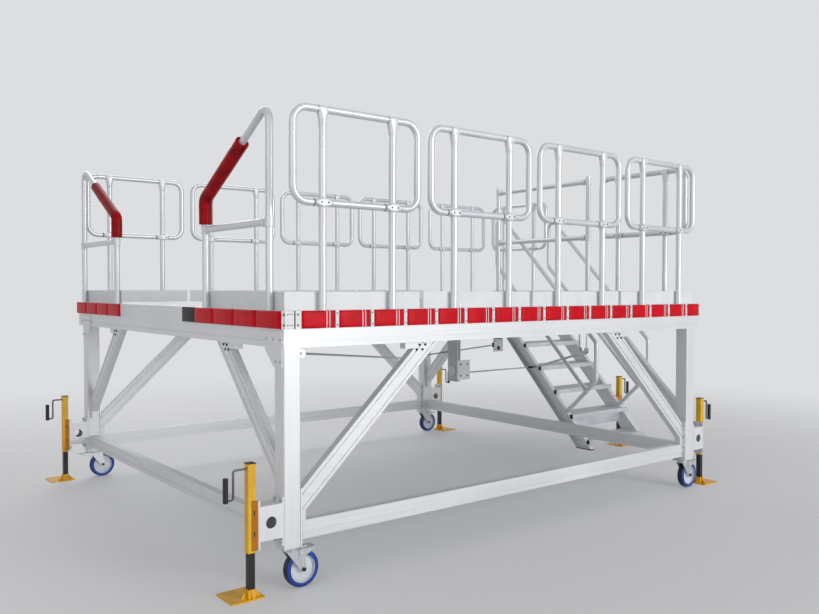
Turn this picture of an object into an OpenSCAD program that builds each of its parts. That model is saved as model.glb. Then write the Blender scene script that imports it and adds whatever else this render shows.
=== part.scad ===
// Mobile aluminium work platform for aircraft upkeep, with an access stair.
// Millimetres, +Z up, +X along the long front face, +Y from the front to the rear.
// The pieces are drawn from the outer corner of the front left leg, and place()
// moves them so that the origin is the middle of the floor plan.

/* [Frame] */
// Length over the legs, along the front face
frame_l = 3740; // [3000:10:5000]
// Width over the legs, from front to rear
frame_w = 3400; // [3000:10:4500]
// Side of the square legs
leg_s = 100; // [80:5:120]
// Rounding of the legs' corners
leg_r = 6; // [3:1:12]
// Height of the under side of the legs
leg_bottom = 232; // [220:1:260]
// Height of the deck surface
deck_z = 1480; // [1300:10:2000]
// Height of the edge beams
beam_h = 196; // [180:2:240]
// Thickness of the edge beams
beam_t = 60; // [50:5:80]
// Height of the lower rails' under side
low_rail_z = 260; // [256:2:300]
// Height of the lower rails
low_rail_h = 100; // [80:5:120]
// Thickness of the lower rails
low_rail_t = 50; // [40:5:60]
// Height of the lip under the groove of a beam or rail
lip_h = 30; // [20:1:40]
// Width of the grooves in beams, rails and braces
groove_w = 8; // [5:1:12]
// Depth of the grooves
groove_d = 5; // [3:1:7]

/* [Braces] */
// Width of the brace profile
brace_w = 100; // [60:5:110]
// Thickness of the brace profile
brace_t = 50; // [40:5:60]
// Height at which a front or rear brace leaves its leg
long_foot_z = 450; // [420:10:520]
// Distance from the leg to the top of a front or rear brace
long_run = 890; // [600:10:950]
// Height at which a side brace leaves its leg
cross_foot_z = 600; // [500:10:700]
// Distance from the leg to the top of a side brace
cross_run = 690; // [500:10:800]

/* [Outriggers] */
// Length of the outrigger box on each leg
stub_l = 128; // [110:1:180]
// Height of the outrigger box
stub_h = 180; // [150:5:200]
// Height of the outrigger box's under side
stub_z = 300; // [290:5:320]
// Wall of the outrigger box
stub_wall = 6; // [4:1:10]
// Thickness of the joint plates and flanges
plate_t = 10; // [8:1:14]
// Height of the jack's flange
flange_h = 256; // [230:2:280]
// Bore for a pulling bar through the outrigger box
pull_bore = 62; // [40:1:80]

/* [Jacks] */
// Side of the jack's square outer tube
jack_s = 42; // [38:1:50]
// Wall of the jack's outer tube
jack_wall = 3; // [2:0.5:4]
// Height of the outer tube's lower end
jack_low_z = 241; // [236:1:260]
// Length of the outer tube
jack_l = 461; // [400:1:520]
// Clearance round the sliding leg in its tube
jack_gap = 0.5; // [0.3:0.1:1]
// Side of the square foot plate
foot_s = 190; // [160:5:200]
// Thickness of the foot plate
foot_t = 8; // [6:1:12]
// Height of the socket on the foot plate
socket_h = 54; // [40:1:60]
// Depth of the saddle that holds a jack
saddle_d = 26; // [20:1:30]
// Reach of the crank handle from the jack's centre
crank_reach = 137; // [120:1:160]
// Diameter of the crank's grip
grip_d = 26; // [20:1:32]

/* [Castors] */
// Wheel diameter
wheel_d = 200; // [160:5:200]
// Wheel width
wheel_w = 46; // [40:1:50]
// Distance of the axle behind the swivel axis
trail = 60; // [50:1:65]
// Distance of the swivel axis from the leg's outer face
swivel_in = 70; // [60:1:80]
// Axle diameter
axle_d = 14; // [10:1:20]

/* [Deck and bumper] */
// How far the deck reaches past the legs on the right
deck_over_x = 60; // [40:5:120]
// How far the deck reaches past the legs at the rear
deck_over_y = 120; // [60:5:160]
// Thickness of the deck planks
plank_t = 30; // [25:1:40]
// Height of the joists under the planks
joist_h = 120; // [90:5:140]
// Height of the bumper band
bump_h = 95; // [80:1:96]
// Depth of the bumper's carrier rail
carrier_t = 12; // [8:1:16]
// Bulge of each bumper pad
pad_bulge = 16; // [8:1:24]
// Number of pads along the front
front_pads = 16; // [12:1:20]

/* [Guard rails] */
// Height of the guard rails above the deck
guard_h = 1100; // [1000:10:1200]
// Tube diameter
tube_d = 42; // [38:1:48]
// Width of one guard loop, over the tube
loop_w = 880; // [800:10:900]
// Height of a guard loop, over the tube
loop_h = 542; // [480:2:600]
// Bend radius of the guard loops, to the tube's centre
loop_r = 85; // [60:5:120]
// Distance between the two posts of a loop
post_gap = 470; // [400:10:520]
// Height of the toe boards
toe_h = 100; // [80:5:150]
// Thickness of the toe boards
toe_t = 6; // [4:1:10]
// Slope of the low guards on the left face, in degrees
left_slant = 29.5; // [20:0.5:40]
// Outer diameter of the foam sleeves
sleeve_d = 80; // [60:2:100]

/* [Stair and landing] */
// Width over the stringers
stair_w = 824; // [700:2:900]
// Number of rises up to the landing
rises = 7; // [6:1:8]
// Going of each step
going = 200; // [190:1:240]
// Depth of each tread
tread_l = 230; // [210:5:260]
// Thickness of the treads
tread_t = 40; // [30:1:50]
// Width of the stringers' flanges
stringer_t = 45; // [35:1:60]
// Wall of the stringers' channel
stringer_wall = 6; // [4:1:8]
// Depth of the stringers, square to the slope
stringer_h = 130; // [110:5:180]
// Height of the stringers' lower ends above the floor
stringer_end_z = 130; // [100:5:160]
// Diameter of the stair's handrail tube
hand_d = 38; // [30:1:44]
// Length of the landing, from the right end of the deck
landing_l = 980; // [900:10:1100]
// Width of the landing
landing_w = 1220; // [1000:10:1300]

/* [Hidden] */
$fn = 32;

// A seat's clearance between two curved faces of one body
seat = 0.3;

// Heights
beam_z = deck_z - beam_h;
rail_z = deck_z + guard_h - tube_d / 2;
mid_z = rail_z - loop_h + tube_d;
bump_z = deck_z - bump_h;

// Plan of the deck
deck_l = frame_l + deck_over_x;
deck_w = frame_w + deck_over_y;
module_n = 4;
module_side = 15;
module_pitch = (deck_l - 2 * module_side) / module_n;
front_in = tube_d / 2 + 1;
rear_in = front_in + 18;
left_in = front_in;
right_in = 94;
loop_edge = 50;
landing_loop_in = 140;
bar_gap = 128;
function module_x(i) = module_side + (i + 0.5) * module_pitch;

// Landing and stair
landing_x = deck_l;
landing_y = deck_w - landing_w;
stair_x = landing_x;
outer_x = stair_x + stair_w;
rise = deck_z / rises;
slope = atan(rise / going);
stringer_drop = 62;
jack5_step = 4;
jack5_y = landing_y - jack5_step * going;
jack5_arm = 105;

// Guard loops: columns are middle x, middle y, and the turn about Z
FRONT_LOOPS = [for (i = [0:module_n - 1]) [module_x(i), front_in, 0]];
REAR_LOOPS = [for (i = [0:module_n - 1]) [module_x(i), deck_w - rear_in, 0]];
RIGHT_LOOPS = [[deck_l - right_in, loop_edge + loop_w / 2, 90]];
LANDING_LOOPS = [
    [landing_x + landing_l / 2, deck_w - rear_in, 0],
    [landing_x + landing_l - front_in, deck_w - landing_loop_in - loop_w / 2, 90]
];
ALL_LOOPS = concat(FRONT_LOOPS, REAR_LOOPS, RIGHT_LOOPS, LANDING_LOOPS);

// Removable bars on the right face, between two posts
BAR_POSTS = [loop_edge + loop_w + bar_gap, landing_y - 102];

// Jacks: columns are centre x, centre y, side of the crank, and the foot plate's offset in x and in y
jack_out = 2 * plate_t + stub_l + jack_s / 2;
JACKS = [
    [-jack_out, leg_s / 2, -1, -25, 60],
    [frame_l + jack_out, leg_s / 2, 1, 60, 20],
    [-jack_out, frame_w - leg_s / 2, -1, -25, 60],
    [frame_l + jack_out, frame_w - leg_s / 2, 1, 20, -60],
    [outer_x + jack5_arm + jack_s / 2, jack5_y, 1, 20, 0]
];
inner_s = jack_s - 2 * jack_wall - 2 * jack_gap;

// Castors: columns are swivel x, swivel y, and the side of the brake pedal
CASTORS = [
    [swivel_in, leg_s / 2, 1],
    [frame_l - swivel_in, leg_s / 2, 1],
    [swivel_in, frame_w - leg_s / 2, -1],
    [frame_l - swivel_in, frame_w - leg_s / 2, 1]
];
head_t = 8;
race_h = 7;
race_gap = 0.3;
fork_z = leg_bottom - head_t - 2 * race_h;
cheek_t = 4;
hub_w = wheel_w + 4;
side_gap = 1.5;
rim_r = wheel_d / 2 - 14;

// Extent in plan, and the shift that puts its middle at the origin
x_low = JACKS[0][0] - crank_reach - grip_d / 2;
x_high = JACKS[4][0] + crank_reach + grip_d / 2;
y_low = -carrier_t - pad_bulge;
y_high = max(deck_w, frame_w - leg_s / 2 + 60 + foot_s / 2);
module place() translate([-(x_low + x_high) / 2, -(y_low + y_high) / 2, 0]) children();

// A block between two opposite corners
module block(x0, x1, y0, y1, z0, z1) translate([x0, y0, z0]) cube([x1 - x0, y1 - y0, z1 - z0]);

// A profile in the YZ plane drawn out along X, and one in the XZ plane drawn out along Y
module along_x(x0, x1, y, z) translate([x0, y, z]) rotate([90, 0, 90]) linear_extrude(x1 - x0) children();
module along_y(y0, y1, x, z) translate([x, y1, z]) rotate([90, 0, 0]) linear_extrude(y1 - y0) children();

// Outline of a plate with rounded corners, and the grooved profile of the beams and rails
module round_plate(w, h, r) {
    translate([r, 0]) square([w - 2 * r, h]);
    translate([0, r]) square([w, h - 2 * r]);
    for (x = [r, w - r], y = [r, h - r]) translate([x, y]) circle(r = r);
}

module rail_profile(t, h) difference() {
    square([t, h]);
    for (x = [-1, t - groove_d]) translate([x, lip_h]) square([groove_d + 1, groove_w]);
}

// Mirrors a piece to the other side of a plane at x = 0 where side is negative
module handed(side) mirror([side < 0 ? 1 : 0, 0, 0]) children();

// A round bar between two points
module bar(a, b, d) {
    v = b - a;
    l = norm(v);
    translate(a) rotate([0, acos(v[2] / l), atan2(v[1], v[0])]) cylinder(d = d, h = l);
}

// An elbow of a tube in the XZ plane: centre of the bend, start angle and swept angle
module elbow(c, r, d, start, sweep)
    translate([c[0], 0, c[1]]) rotate([90, 0, 0]) rotate([0, 0, start])
        rotate_extrude(angle = sweep) translate([r, 0]) circle(d = d);

// A tube bent to one radius r at each inner point of a path [x, z] in the XZ plane.
// Each bend is a little thicker than the tube, and the straight lengths run into it.
bend_swell = 0.4;
bend_lap = 1;
function heading(a, b) = atan2(b[1] - a[1], b[0] - a[0]);
function turn(a, b, c) = (heading(b, c) - heading(a, b) + 540) % 360 - 180;
function towards(a, b, l) = a + (b - a) * l / norm(b - a);
module bent_tube(p, r, d) {
    n = len(p) - 1;
    cut = [for (i = [0:n]) i == 0 || i == n ? 0 : r * tan(abs(turn(p[i - 1], p[i], p[i + 1])) / 2)];
    for (i = [0:n - 1]) {
        a = towards(p[i], p[i + 1], i == 0 ? 0 : cut[i] - bend_lap);
        b = towards(p[i + 1], p[i], i == n - 1 ? 0 : cut[i + 1] - bend_lap);
        bar([a[0], 0, a[1]], [b[0], 0, b[1]], d);
    }
    for (i = [1:n - 1]) {
        h = heading(p[i - 1], p[i]);
        t = turn(p[i - 1], p[i], p[i + 1]);
        start = towards(p[i], p[i - 1], cut[i]);
        elbow(start + sign(t) * r * [-sin(h), cos(h)], r, d + bend_swell,
            t > 0 ? h - 90 : h + 90 + t, abs(t));
    }
}

// Leg with its joint plate and its outrigger, drawn for the left side
module leg(x, y, side) color("gainsboro") place() translate([x, y, 0]) handed(side) {
    translate([0, 0, leg_bottom]) linear_extrude(beam_z - leg_bottom) round_plate(leg_s, leg_s, leg_r);
    block(leg_s, leg_s + plate_t, 0, leg_s, leg_bottom, long_foot_z + 90);
    mirror([1, 0, 0]) outrigger();
}

flange_z = stub_z - 45;
module outrigger() difference() {
    union() {
        block(plate_t, plate_t + stub_l, 0, leg_s, stub_z, stub_z + stub_h);
        for (x = [0, plate_t + stub_l]) translate([x, 0, flange_z]) cube([plate_t, leg_s, flange_h]);
    }
    translate([plate_t, stub_wall, stub_z + stub_wall])
        cube([stub_l, leg_s - 2 * stub_wall, stub_h - 2 * stub_wall]);
    translate([plate_t + stub_l / 2, -1, stub_z + stub_h / 2])
        rotate([-90, 0, 0]) cylinder(d = pull_bore, h = leg_s + 2);
}

module leg_front_left() leg(0, 0, 1);
module leg_front_right() leg(frame_l, 0, -1);
module leg_rear_left() leg(0, frame_w - leg_s, 1);
module leg_rear_right() leg(frame_l, frame_w - leg_s, -1);

// Lower rails between the legs
module lower_rails() color("gainsboro") place() {
    in = (leg_s - low_rail_t) / 2;
    x0 = leg_s + plate_t;
    for (y = [in, frame_w - in - low_rail_t])
        along_x(x0, frame_l - x0, y, low_rail_z) rail_profile(low_rail_t, low_rail_h);
    for (x = [in, frame_l - in - low_rail_t])
        along_y(leg_s, frame_w - leg_s, x, low_rail_z) rail_profile(low_rail_t, low_rail_h);
}

// Edge beams round the deck
module long_beams() color("whitesmoke") place()
    for (y = [0, deck_w - beam_t]) along_x(0, deck_l, y, beam_z) rail_profile(beam_t, beam_h);

module cross_beams() color("whitesmoke") place()
    for (x = [0, deck_l - beam_t]) along_y(beam_t, deck_w - beam_t, x, beam_z) rail_profile(beam_t, beam_h);

// A grooved brace in the XZ plane, from the leg's face up to the beam, with a block at each end
brace_lip = 22;
heel_l = 36;
heel_drop = 20;
head_l = 180;
head_h = 38;
module brace(foot_z, run) {
    a = atan2(beam_z - foot_z, run);
    low = foot_z - brace_w / 2 / cos(a);
    high = foot_z + brace_w / 2 / cos(a);
    l = run / cos(a) + 2 * brace_w;
    difference() {
        along_y(0, brace_t, 0, 0) polygon([
            [0, low - heel_drop], [heel_l, low - heel_drop], [heel_l, low + heel_l * tan(a)],
            [run + brace_w / 2 / sin(a), beam_z], [run - head_l, beam_z], [run - head_l, beam_z - head_h],
            [(beam_z - head_h - high) / tan(a), beam_z - head_h], [0, high]
        ]);
        translate([0, 0, foot_z]) rotate([0, -a, 0])
            for (z = [brace_lip, brace_w - brace_lip], y = [-1, brace_t - groove_d])
                translate([-brace_w, y, z - brace_w / 2 - groove_w / 2]) cube([l, groove_d + 1, groove_w]);
    }
}

module long_braces() color("silver") place()
    for (y = [(leg_s - brace_t) / 2, frame_w - (leg_s + brace_t) / 2]) {
        translate([leg_s + plate_t, y, 0]) brace(long_foot_z, long_run);
        translate([frame_l - leg_s - plate_t, y, 0]) mirror([1, 0, 0]) brace(long_foot_z, long_run);
    }

module cross_braces() color("silver") {
    gussets();
    place() for (x = [leg_s / 2, frame_l - leg_s / 2]) {
        translate([x + brace_t / 2, leg_s, 0]) rotate([0, 0, 90]) brace(cross_foot_z, cross_run);
        translate([x - brace_t / 2, frame_w - leg_s, 0]) rotate([0, 0, -90]) brace(cross_foot_z, cross_run);
    }
}

// Gusset plates that tie the left legs' tops to the edge beam
gusset_t = 6;
gusset_low = 100;
gusset_side = 115;
module gussets() color("silver") place() {
    plan = [[10, -gusset_low], [leg_s, -gusset_low], [leg_s + gusset_side - 23, -12],
        [leg_s + gusset_side, beam_h - bump_h - 13], [10, beam_h - bump_h - 13]];
    along_x(-gusset_t, 0, 0, beam_z) polygon(plan);
    translate([0, frame_w, 0]) mirror([0, 1, 0]) along_x(-gusset_t, 0, 0, beam_z) polygon(plan);
}

// Deck planks on their joists
joist_n = 8;
joist_w = 50;
joist_z = deck_z - plank_t - joist_h;
function joist_x(i) = deck_l * i / (joist_n + 1);
module deck_joists() color("silver") place()
    for (i = [1:joist_n])
        translate([joist_x(i) - joist_w / 2, beam_t, joist_z]) cube([joist_w, deck_w - 2 * beam_t, joist_h]);

plank_gap = 2;
// Planks side by side between y0 and y1, n of them, with a gap between neighbours
module planks(x0, x1, y0, y1, n) {
    pitch = (y1 - y0 + plank_gap) / n;
    for (i = [0:n - 1])
        block(x0, x1, y0 + i * pitch, y0 + (i + 1) * pitch - plank_gap, deck_z - plank_t, deck_z);
}

plank_n = 14;
module deck_planks() color("lightgray") place()
    planks(beam_t, deck_l - beam_t, beam_t, deck_w - beam_t, plank_n);

// Bumper band: padded segments on a carrier, along the front and at both ends of the left face
corner_cap = 98;
pad_strip = 24;
pad_pitch = (deck_l - corner_cap) / front_pads;
dark_block = 150;
left_pads = 4;
left_band_l = 1080;
// Left bands: columns are their start and their end along y
LEFT_BANDS = [[0, left_band_l], [deck_w - left_band_l, deck_w]];

// Plan of one pad, with a flat back and an arched front
module pad_plan(l) {
    r = (l * l / 4 + pad_bulge * pad_bulge) / (2 * pad_bulge);
    intersection() {
        translate([0, -pad_bulge]) square([l, pad_bulge]);
        translate([l / 2, r - pad_bulge]) circle(r = r, $fn = 480);
    }
}

module pad(l) translate([0, -carrier_t, bump_z]) linear_extrude(bump_h) pad_plan(l);

module bumper_carriers() color("white") place() {
    block(0, deck_l, -carrier_t, 0, bump_z, deck_z);
    for (b = LEFT_BANDS) block(-carrier_t, 0, b[0], b[1], bump_z, deck_z);
}

module bumper_pads() color("crimson") place() {
    for (i = [0:front_pads - 1])
        translate([corner_cap + i * pad_pitch, 0, 0]) pad(pad_pitch - pad_strip);
    for (b = LEFT_BANDS) {
        p = (b[1] - b[0]) / left_pads;
        for (i = [1:left_pads])
            translate([0, b[0] + i * p - pad_strip / 2, 0]) rotate([0, 0, -90]) pad(p - pad_strip);
    }
}

module bumper_ends() color("dimgray") place()
    block(-carrier_t, 0, LEFT_BANDS[0][1], LEFT_BANDS[0][1] + dark_block, bump_z, deck_z);

// One guard loop in the XZ plane, about the middle of its length
module loop(w) {
    x = w / 2 - tube_d / 2 - loop_r;
    for (z = [mid_z, rail_z]) bar([-x, 0, z], [x, 0, z], tube_d);
    for (s = [-x - loop_r, x + loop_r]) bar([s, 0, mid_z + loop_r], [s, 0, rail_z - loop_r], tube_d);
    elbow([x, rail_z - loop_r], loop_r, tube_d, 0, 90);
    elbow([-x, rail_z - loop_r], loop_r, tube_d, 90, 90);
    elbow([-x, mid_z + loop_r], loop_r, tube_d, 180, 90);
    elbow([x, mid_z + loop_r], loop_r, tube_d, 270, 90);
}

module at_loops(rows) for (g = rows) translate([g[0], g[1], 0]) rotate([0, 0, g[2]]) children();

module guard_loops_front() color("silver") place() at_loops(FRONT_LOOPS) loop(loop_w);
module guard_loops_rear() color("silver") place() at_loops(REAR_LOOPS) loop(loop_w);
module guard_loops_right() color("silver") place() at_loops(RIGHT_LOOPS) loop(loop_w);
module guard_loops_landing() color("silver") place() at_loops(LANDING_LOOPS) loop(loop_w);

// Posts, in two lengths so that the loops' lower tubes pass between them
clamp_t = 4;
clamp_l = 48;
collar_l = 24;
lens_l = 96;
lens_h = 34;
lens_t = 4;
post_end = tube_d / 2 + clamp_t + 2 * seat;
module guard_posts() color("silver") place() {
    at_loops(ALL_LOOPS)
        for (x = [-post_gap / 2, post_gap / 2]) {
            bar([x, 0, deck_z], [x, 0, mid_z - post_end], tube_d);
            bar([x, 0, mid_z + post_end], [x, 0, rail_z - post_end], tube_d);
        }
    for (y = BAR_POSTS) translate([deck_l - right_in, y, deck_z]) cylinder(d = tube_d, h = guard_h + 25);
}

// Clamps where the posts meet the loops: a sleeve round the loop, a collar on each post end,
// and on the middle tube a lens-shaped plate in front
module ring(d, l) difference() {
    cylinder(d = d + 2 * clamp_t, h = l);
    translate([0, 0, -1]) cylinder(d = d + 2 * seat, h = l + 2);
}

module lens() {
    r = (lens_l * lens_l + lens_h * lens_h) / (4 * lens_h);
    rotate([90, 0, 0]) linear_extrude(lens_t) intersection_for(s = [-1, 1])
        translate([0, s * (r - lens_h / 2)]) circle(r = r, $fn = 360);
}

module guard_fittings() color("white") place() at_loops(ALL_LOOPS)
    for (x = [-post_gap / 2, post_gap / 2], z = [mid_z, rail_z]) {
        translate([x - clamp_l / 2, 0, z]) rotate([0, 90, 0]) ring(tube_d, clamp_l);
        translate([x, 0, z - post_end - collar_l]) ring(tube_d, collar_l);
        if (z == mid_z) {
            translate([x, 0, z + post_end]) ring(tube_d, collar_l);
            translate([x, -tube_d / 2 - clamp_t + 1, z]) lens();
        }
    }

// Low guards at both ends of the left face, drawn in the XZ plane with x along the face
left_tall = 192;
left_low = 1000;
left_r = 60;
left_mid_z = 1957;
left_top_z = rail_z - left_r + left_r * tan((90 + left_slant) / 2);
left_bend_z = left_top_z - (left_low - left_tall) * tan(left_slant);
left_far_in = 95;
LEFT_PATH = [[left_tall, deck_z], [left_tall, left_top_z], [left_low, left_bend_z], [left_low, deck_z]];

module left_ends() {
    translate([left_in, 0, 0]) rotate([0, 0, 90]) children();
    translate([left_in, deck_w - left_far_in + left_tall, 0]) mirror([0, 1, 0]) rotate([0, 0, 90]) children();
}

module guard_left() color("silver") place() left_ends() {
    bent_tube(LEFT_PATH, left_r, tube_d);
    bar([left_tall, 0, left_mid_z], [left_low, 0, left_mid_z], tube_d);
}

// Foam sleeves round the low bends
sleeve_from = 530;
sleeve_low_z = left_mid_z + tube_d / 2 + 21;
SLEEVE_PATH = [towards(LEFT_PATH[2], LEFT_PATH[1], (left_low - sleeve_from) / cos(left_slant)), LEFT_PATH[2],
    [left_low, sleeve_low_z]];
module foam_sleeves() color("firebrick") place() left_ends() difference() {
    bent_tube(SLEEVE_PATH, left_r, sleeve_d);
    bent_tube(LEFT_PATH, left_r, tube_d + 2 * seat);
}

// Removable bars between the two posts of the right face
module barrier_bars() color("silver") place() {
    x = deck_l - right_in;
    for (z = [mid_z, rail_z])
        bar([x, BAR_POSTS[0] + tube_d / 2 + seat, z], [x, BAR_POSTS[1] - tube_d / 2 - seat, z], tube_d);
}

// Toe boards, one for each guard loop
toe_in = tube_d + 4;
module toe_boards() color("white") place() {
    l = module_pitch - 30;
    for (i = [0:module_n - 1], y = [toe_in, deck_w - rear_in - tube_d / 2 - 4 - toe_t])
        translate([module_x(i) - l / 2, y, deck_z]) cube([l, toe_t, toe_h]);
    far = deck_w - left_far_in + left_tall;
    for (b = [[toe_in + 20, left_low + 38], [far - left_low - 38, deck_w - 80]])
        block(toe_in, toe_in + toe_t, b[0], b[1], deck_z, deck_z + toe_h);
    x = deck_l - right_in - tube_d / 2 - 4 - toe_t;
    block(x, x + toe_t, toe_in + 20, BAR_POSTS[1] + 40, deck_z, deck_z + toe_h);
}

// Landing at the rear of the right face
land_beam_t = 45;
land_beam_h = 120;
module landing_frame() color("silver") place() {
    z0 = deck_z - land_beam_h;
    x1 = landing_x + landing_l;
    for (y = [landing_y, deck_w - land_beam_t]) block(landing_x, x1, y, y + land_beam_t, z0, deck_z);
    for (x = [landing_x, x1 - land_beam_t])
        block(x, x + land_beam_t, landing_y + land_beam_t, deck_w - land_beam_t, z0, deck_z);
}

land_plank_n = 5;
module landing_deck() color("lightgray") place()
    planks(landing_x + land_beam_t, landing_x + landing_l - land_beam_t,
        landing_y + land_beam_t, deck_w - land_beam_t, land_plank_n);

// Stair: the nosings lie on one slope from the landing's edge
function step_y(i) = landing_y - i * going;
function step_z(i) = deck_z - i * rise;
function nosing_z(y) = deck_z - (landing_y - y) * rise / going;

// Outline of a stringer in the YZ plane, drawn in by a wall
function stringer_outline(in) = let (
    a = deck_z - stringer_drop - in / cos(slope),
    b = a - (stringer_h - 2 * in) / cos(slope),
    low = stringer_end_z + in
) [
    [landing_y - in, a - in * rise / going], [landing_y - in, b - in * rise / going],
    [landing_y - (b - low) * going / rise, low], [landing_y - (a - low) * going / rise, low]
];

// A channel with its web on the treads' side
module stringer() difference() {
    rotate([90, 0, 90]) linear_extrude(stringer_t) polygon(stringer_outline(0));
    translate([-1, 0, 0]) rotate([90, 0, 90])
        linear_extrude(stringer_t - stringer_wall + 1) polygon(stringer_outline(stringer_wall));
}

module stair_stringers() color("gainsboro") place() {
    translate([stair_x, 0, 0]) stringer();
    translate([outer_x, 0, 0]) mirror([1, 0, 0]) stringer();
}

// Plugs that close the stringers' lower ends
plug_t = 10;
module stair_feet() color("black") place()
    for (x = [stair_x, outer_x - stringer_t])
        block(x, x + stringer_t, stringer_outline(0)[3][0], stringer_outline(0)[2][0],
            stringer_end_z - plug_t, stringer_end_z);

// Treads with a rounded, grooved nosing that laps over the stringers, and the member under one of them
nose_r = 7;
nose_lap = (stringer_drop - tread_t) * going / rise - 2;
rib_from = 24;
rib_pitch = 12;
rib_w = 4;
rib_d = 2;
rib_n = 4;
member_step = 5;
member_in = 57;
member_h = 100;
member_w = 50;
module tread_profile() difference() {
    union() {
        translate([0, -tread_t]) square([tread_l, tread_t - nose_r]);
        translate([nose_r, -tread_t]) square([tread_l - nose_r, tread_t]);
        translate([nose_r, -nose_r]) circle(r = nose_r);
    }
    for (i = [0:rib_n - 1]) translate([rib_from + i * rib_pitch, -rib_d]) square([rib_w, rib_d + 1]);
}

module stair_treads() color("lightgray") place() {
    x0 = stair_x + stringer_t;
    x1 = outer_x - stringer_t;
    for (i = [1:rises - 1]) {
        along_x(x0, x1, step_y(i), step_z(i)) tread_profile();
        intersection() {
            along_x(stair_x, outer_x, step_y(i), step_z(i)) tread_profile();
            block(stair_x, outer_x, step_y(i), step_y(i) + nose_lap, step_z(i) - tread_t, step_z(i));
        }
    }
    y = step_y(member_step) + member_in;
    z = step_z(member_step) - tread_t;
    block(x0, x1, y, y + member_w, z - member_h, z);
}

// Handrails: one bent tube a side, from the stringer round both bends back to its own foot
hand_r = 60;
hand_back = 920;
hand_foot_l = 454;
hand_upright = 350;
hand_over = 35;
hand_top = 918;
hand_low = 360;
hand_join = 305;
hand_sink = 5;
UP_SLOPE = [cos(slope), sin(slope)];
OFF_SLOPE = [-sin(slope), cos(slope)];
HAND_FOOT = [landing_y - hand_back, nosing_z(landing_y - hand_back) - stringer_drop] + seat * OFF_SLOPE;
HAND_LOW = HAND_FOOT + hand_foot_l * OFF_SLOPE;
HAND_PATH = [
    HAND_FOOT, HAND_LOW, HAND_LOW + [0, hand_upright],
    [landing_y + hand_over, deck_z + hand_top], [landing_y + hand_over, deck_z + hand_low],
    HAND_FOOT + hand_join * OFF_SLOPE + (hand_d / 2 - hand_sink) * UP_SLOPE
];
module stair_handrails() color("silver") place()
    for (x = [stair_x + stringer_t / 2, outer_x - stringer_t / 2])
        translate([x, 0, 0]) rotate([0, 0, 90]) bent_tube(HAND_PATH, hand_r, hand_d);

// Column under the deck, with a cover plate on its front and a round cover on its left face
column_back = 1040;
column_fore = 520;
column_drop = 555;
column_x = landing_x - column_back;
column_y = landing_y - column_fore;
column_l = 60;
column_w = 120;
column_z = joist_z - column_drop;
cover_t = 8;
cover_in = 21;
cover_l = 158;
cover_low = 24;
cover_h = 218;
disc_t = 3;
disc_r = 43;
disc_up = 73;
module drop_column() color("gainsboro") place() {
    block(column_x, column_x + column_l, column_y, column_y + column_w, column_z, deck_z - plank_t);
    translate([column_x + cover_in, column_y - cover_t, column_z - cover_low])
        cube([cover_l, cover_t, cover_h]);
    translate([column_x - disc_t, column_y + column_w / 2, column_z + disc_up])
        rotate([0, 90, 0]) cylinder(r = disc_r, h = disc_t);
}

// Stay rods: a slack one from an eye at the near leg to a plate that hangs from a joist,
// and one from the column to the inner stringer
rod_d = 12;
eye_t = 12;
eye_l = 35;
eye_r = 22;
eye_drop = 34;
bend_back = 1500;
bend_drop = 298;
stay_fore = 370;
stay_y = landing_y - stay_fore;
tag_joist = 8;
tag_l = 124;
tag_h = 125;
tag_t = 8;
tag_strap = 22;
tag_hole = 42;
tag_hole_up = 32;
tag_drop = 335;
level_in = 20;
level_up = 58;
level_y = column_y + level_in;
level_z = column_z + level_up;
module stay_rods() color("silver") place() {
    EYE = [leg_s + eye_l, leg_s / 2, beam_z - eye_drop];
    BEND = [landing_x - bend_back, stay_y, beam_z - bend_drop];
    TAG = [joist_x(tag_joist) + joist_w / 2 - tag_strap, stay_y, joist_z - tag_drop];
    block(leg_s, EYE[0], EYE[1] - eye_t / 2, EYE[1] + eye_t / 2, EYE[2] - eye_r, EYE[2] + eye_r);
    translate(EYE) rotate([90, 0, 0]) cylinder(r = eye_r, h = eye_t, center = true);
    bar(EYE, BEND, rod_d);
    translate(BEND) sphere(d = rod_d + bend_swell);
    bar(BEND, TAG + [6, 0, tag_h / 2], rod_d);
    difference() {
        translate(TAG - [0, tag_t / 2, 0]) cube([tag_l, tag_t, tag_h]);
        translate(TAG + [tag_l / 2, tag_t, tag_hole_up])
            rotate([90, 0, 0]) cylinder(d = tag_hole, h = 2 * tag_t);
    }
    translate(TAG + [0, -tag_t / 2, tag_h]) cube([tag_strap, tag_t, tag_drop - tag_h]);
    level_x = stair_x + stringer_t - stringer_wall;
    bar([column_x + column_l, level_y, level_z], [level_x, level_y, level_z], rod_d);
}

// Jacks
module at_jacks() for (j = JACKS) translate([j[0], j[1], 0]) handed(j[2]) children();

cap_over = 2;
cap_h = 14;
module jack_tubes() color("gold") place() at_jacks() difference() {
    union() {
        translate([-jack_s / 2, -jack_s / 2, jack_low_z]) cube([jack_s, jack_s, jack_l]);
        translate([-jack_s / 2 - cap_over, -jack_s / 2 - cap_over, jack_low_z + jack_l - cap_h])
            cube([jack_s + 2 * cap_over, jack_s + 2 * cap_over, cap_h]);
    }
    translate([-jack_s / 2 + jack_wall, -jack_s / 2 + jack_wall, jack_low_z - 1])
        cube([jack_s - 2 * jack_wall, jack_s - 2 * jack_wall, jack_l - 8]);
}

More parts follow.
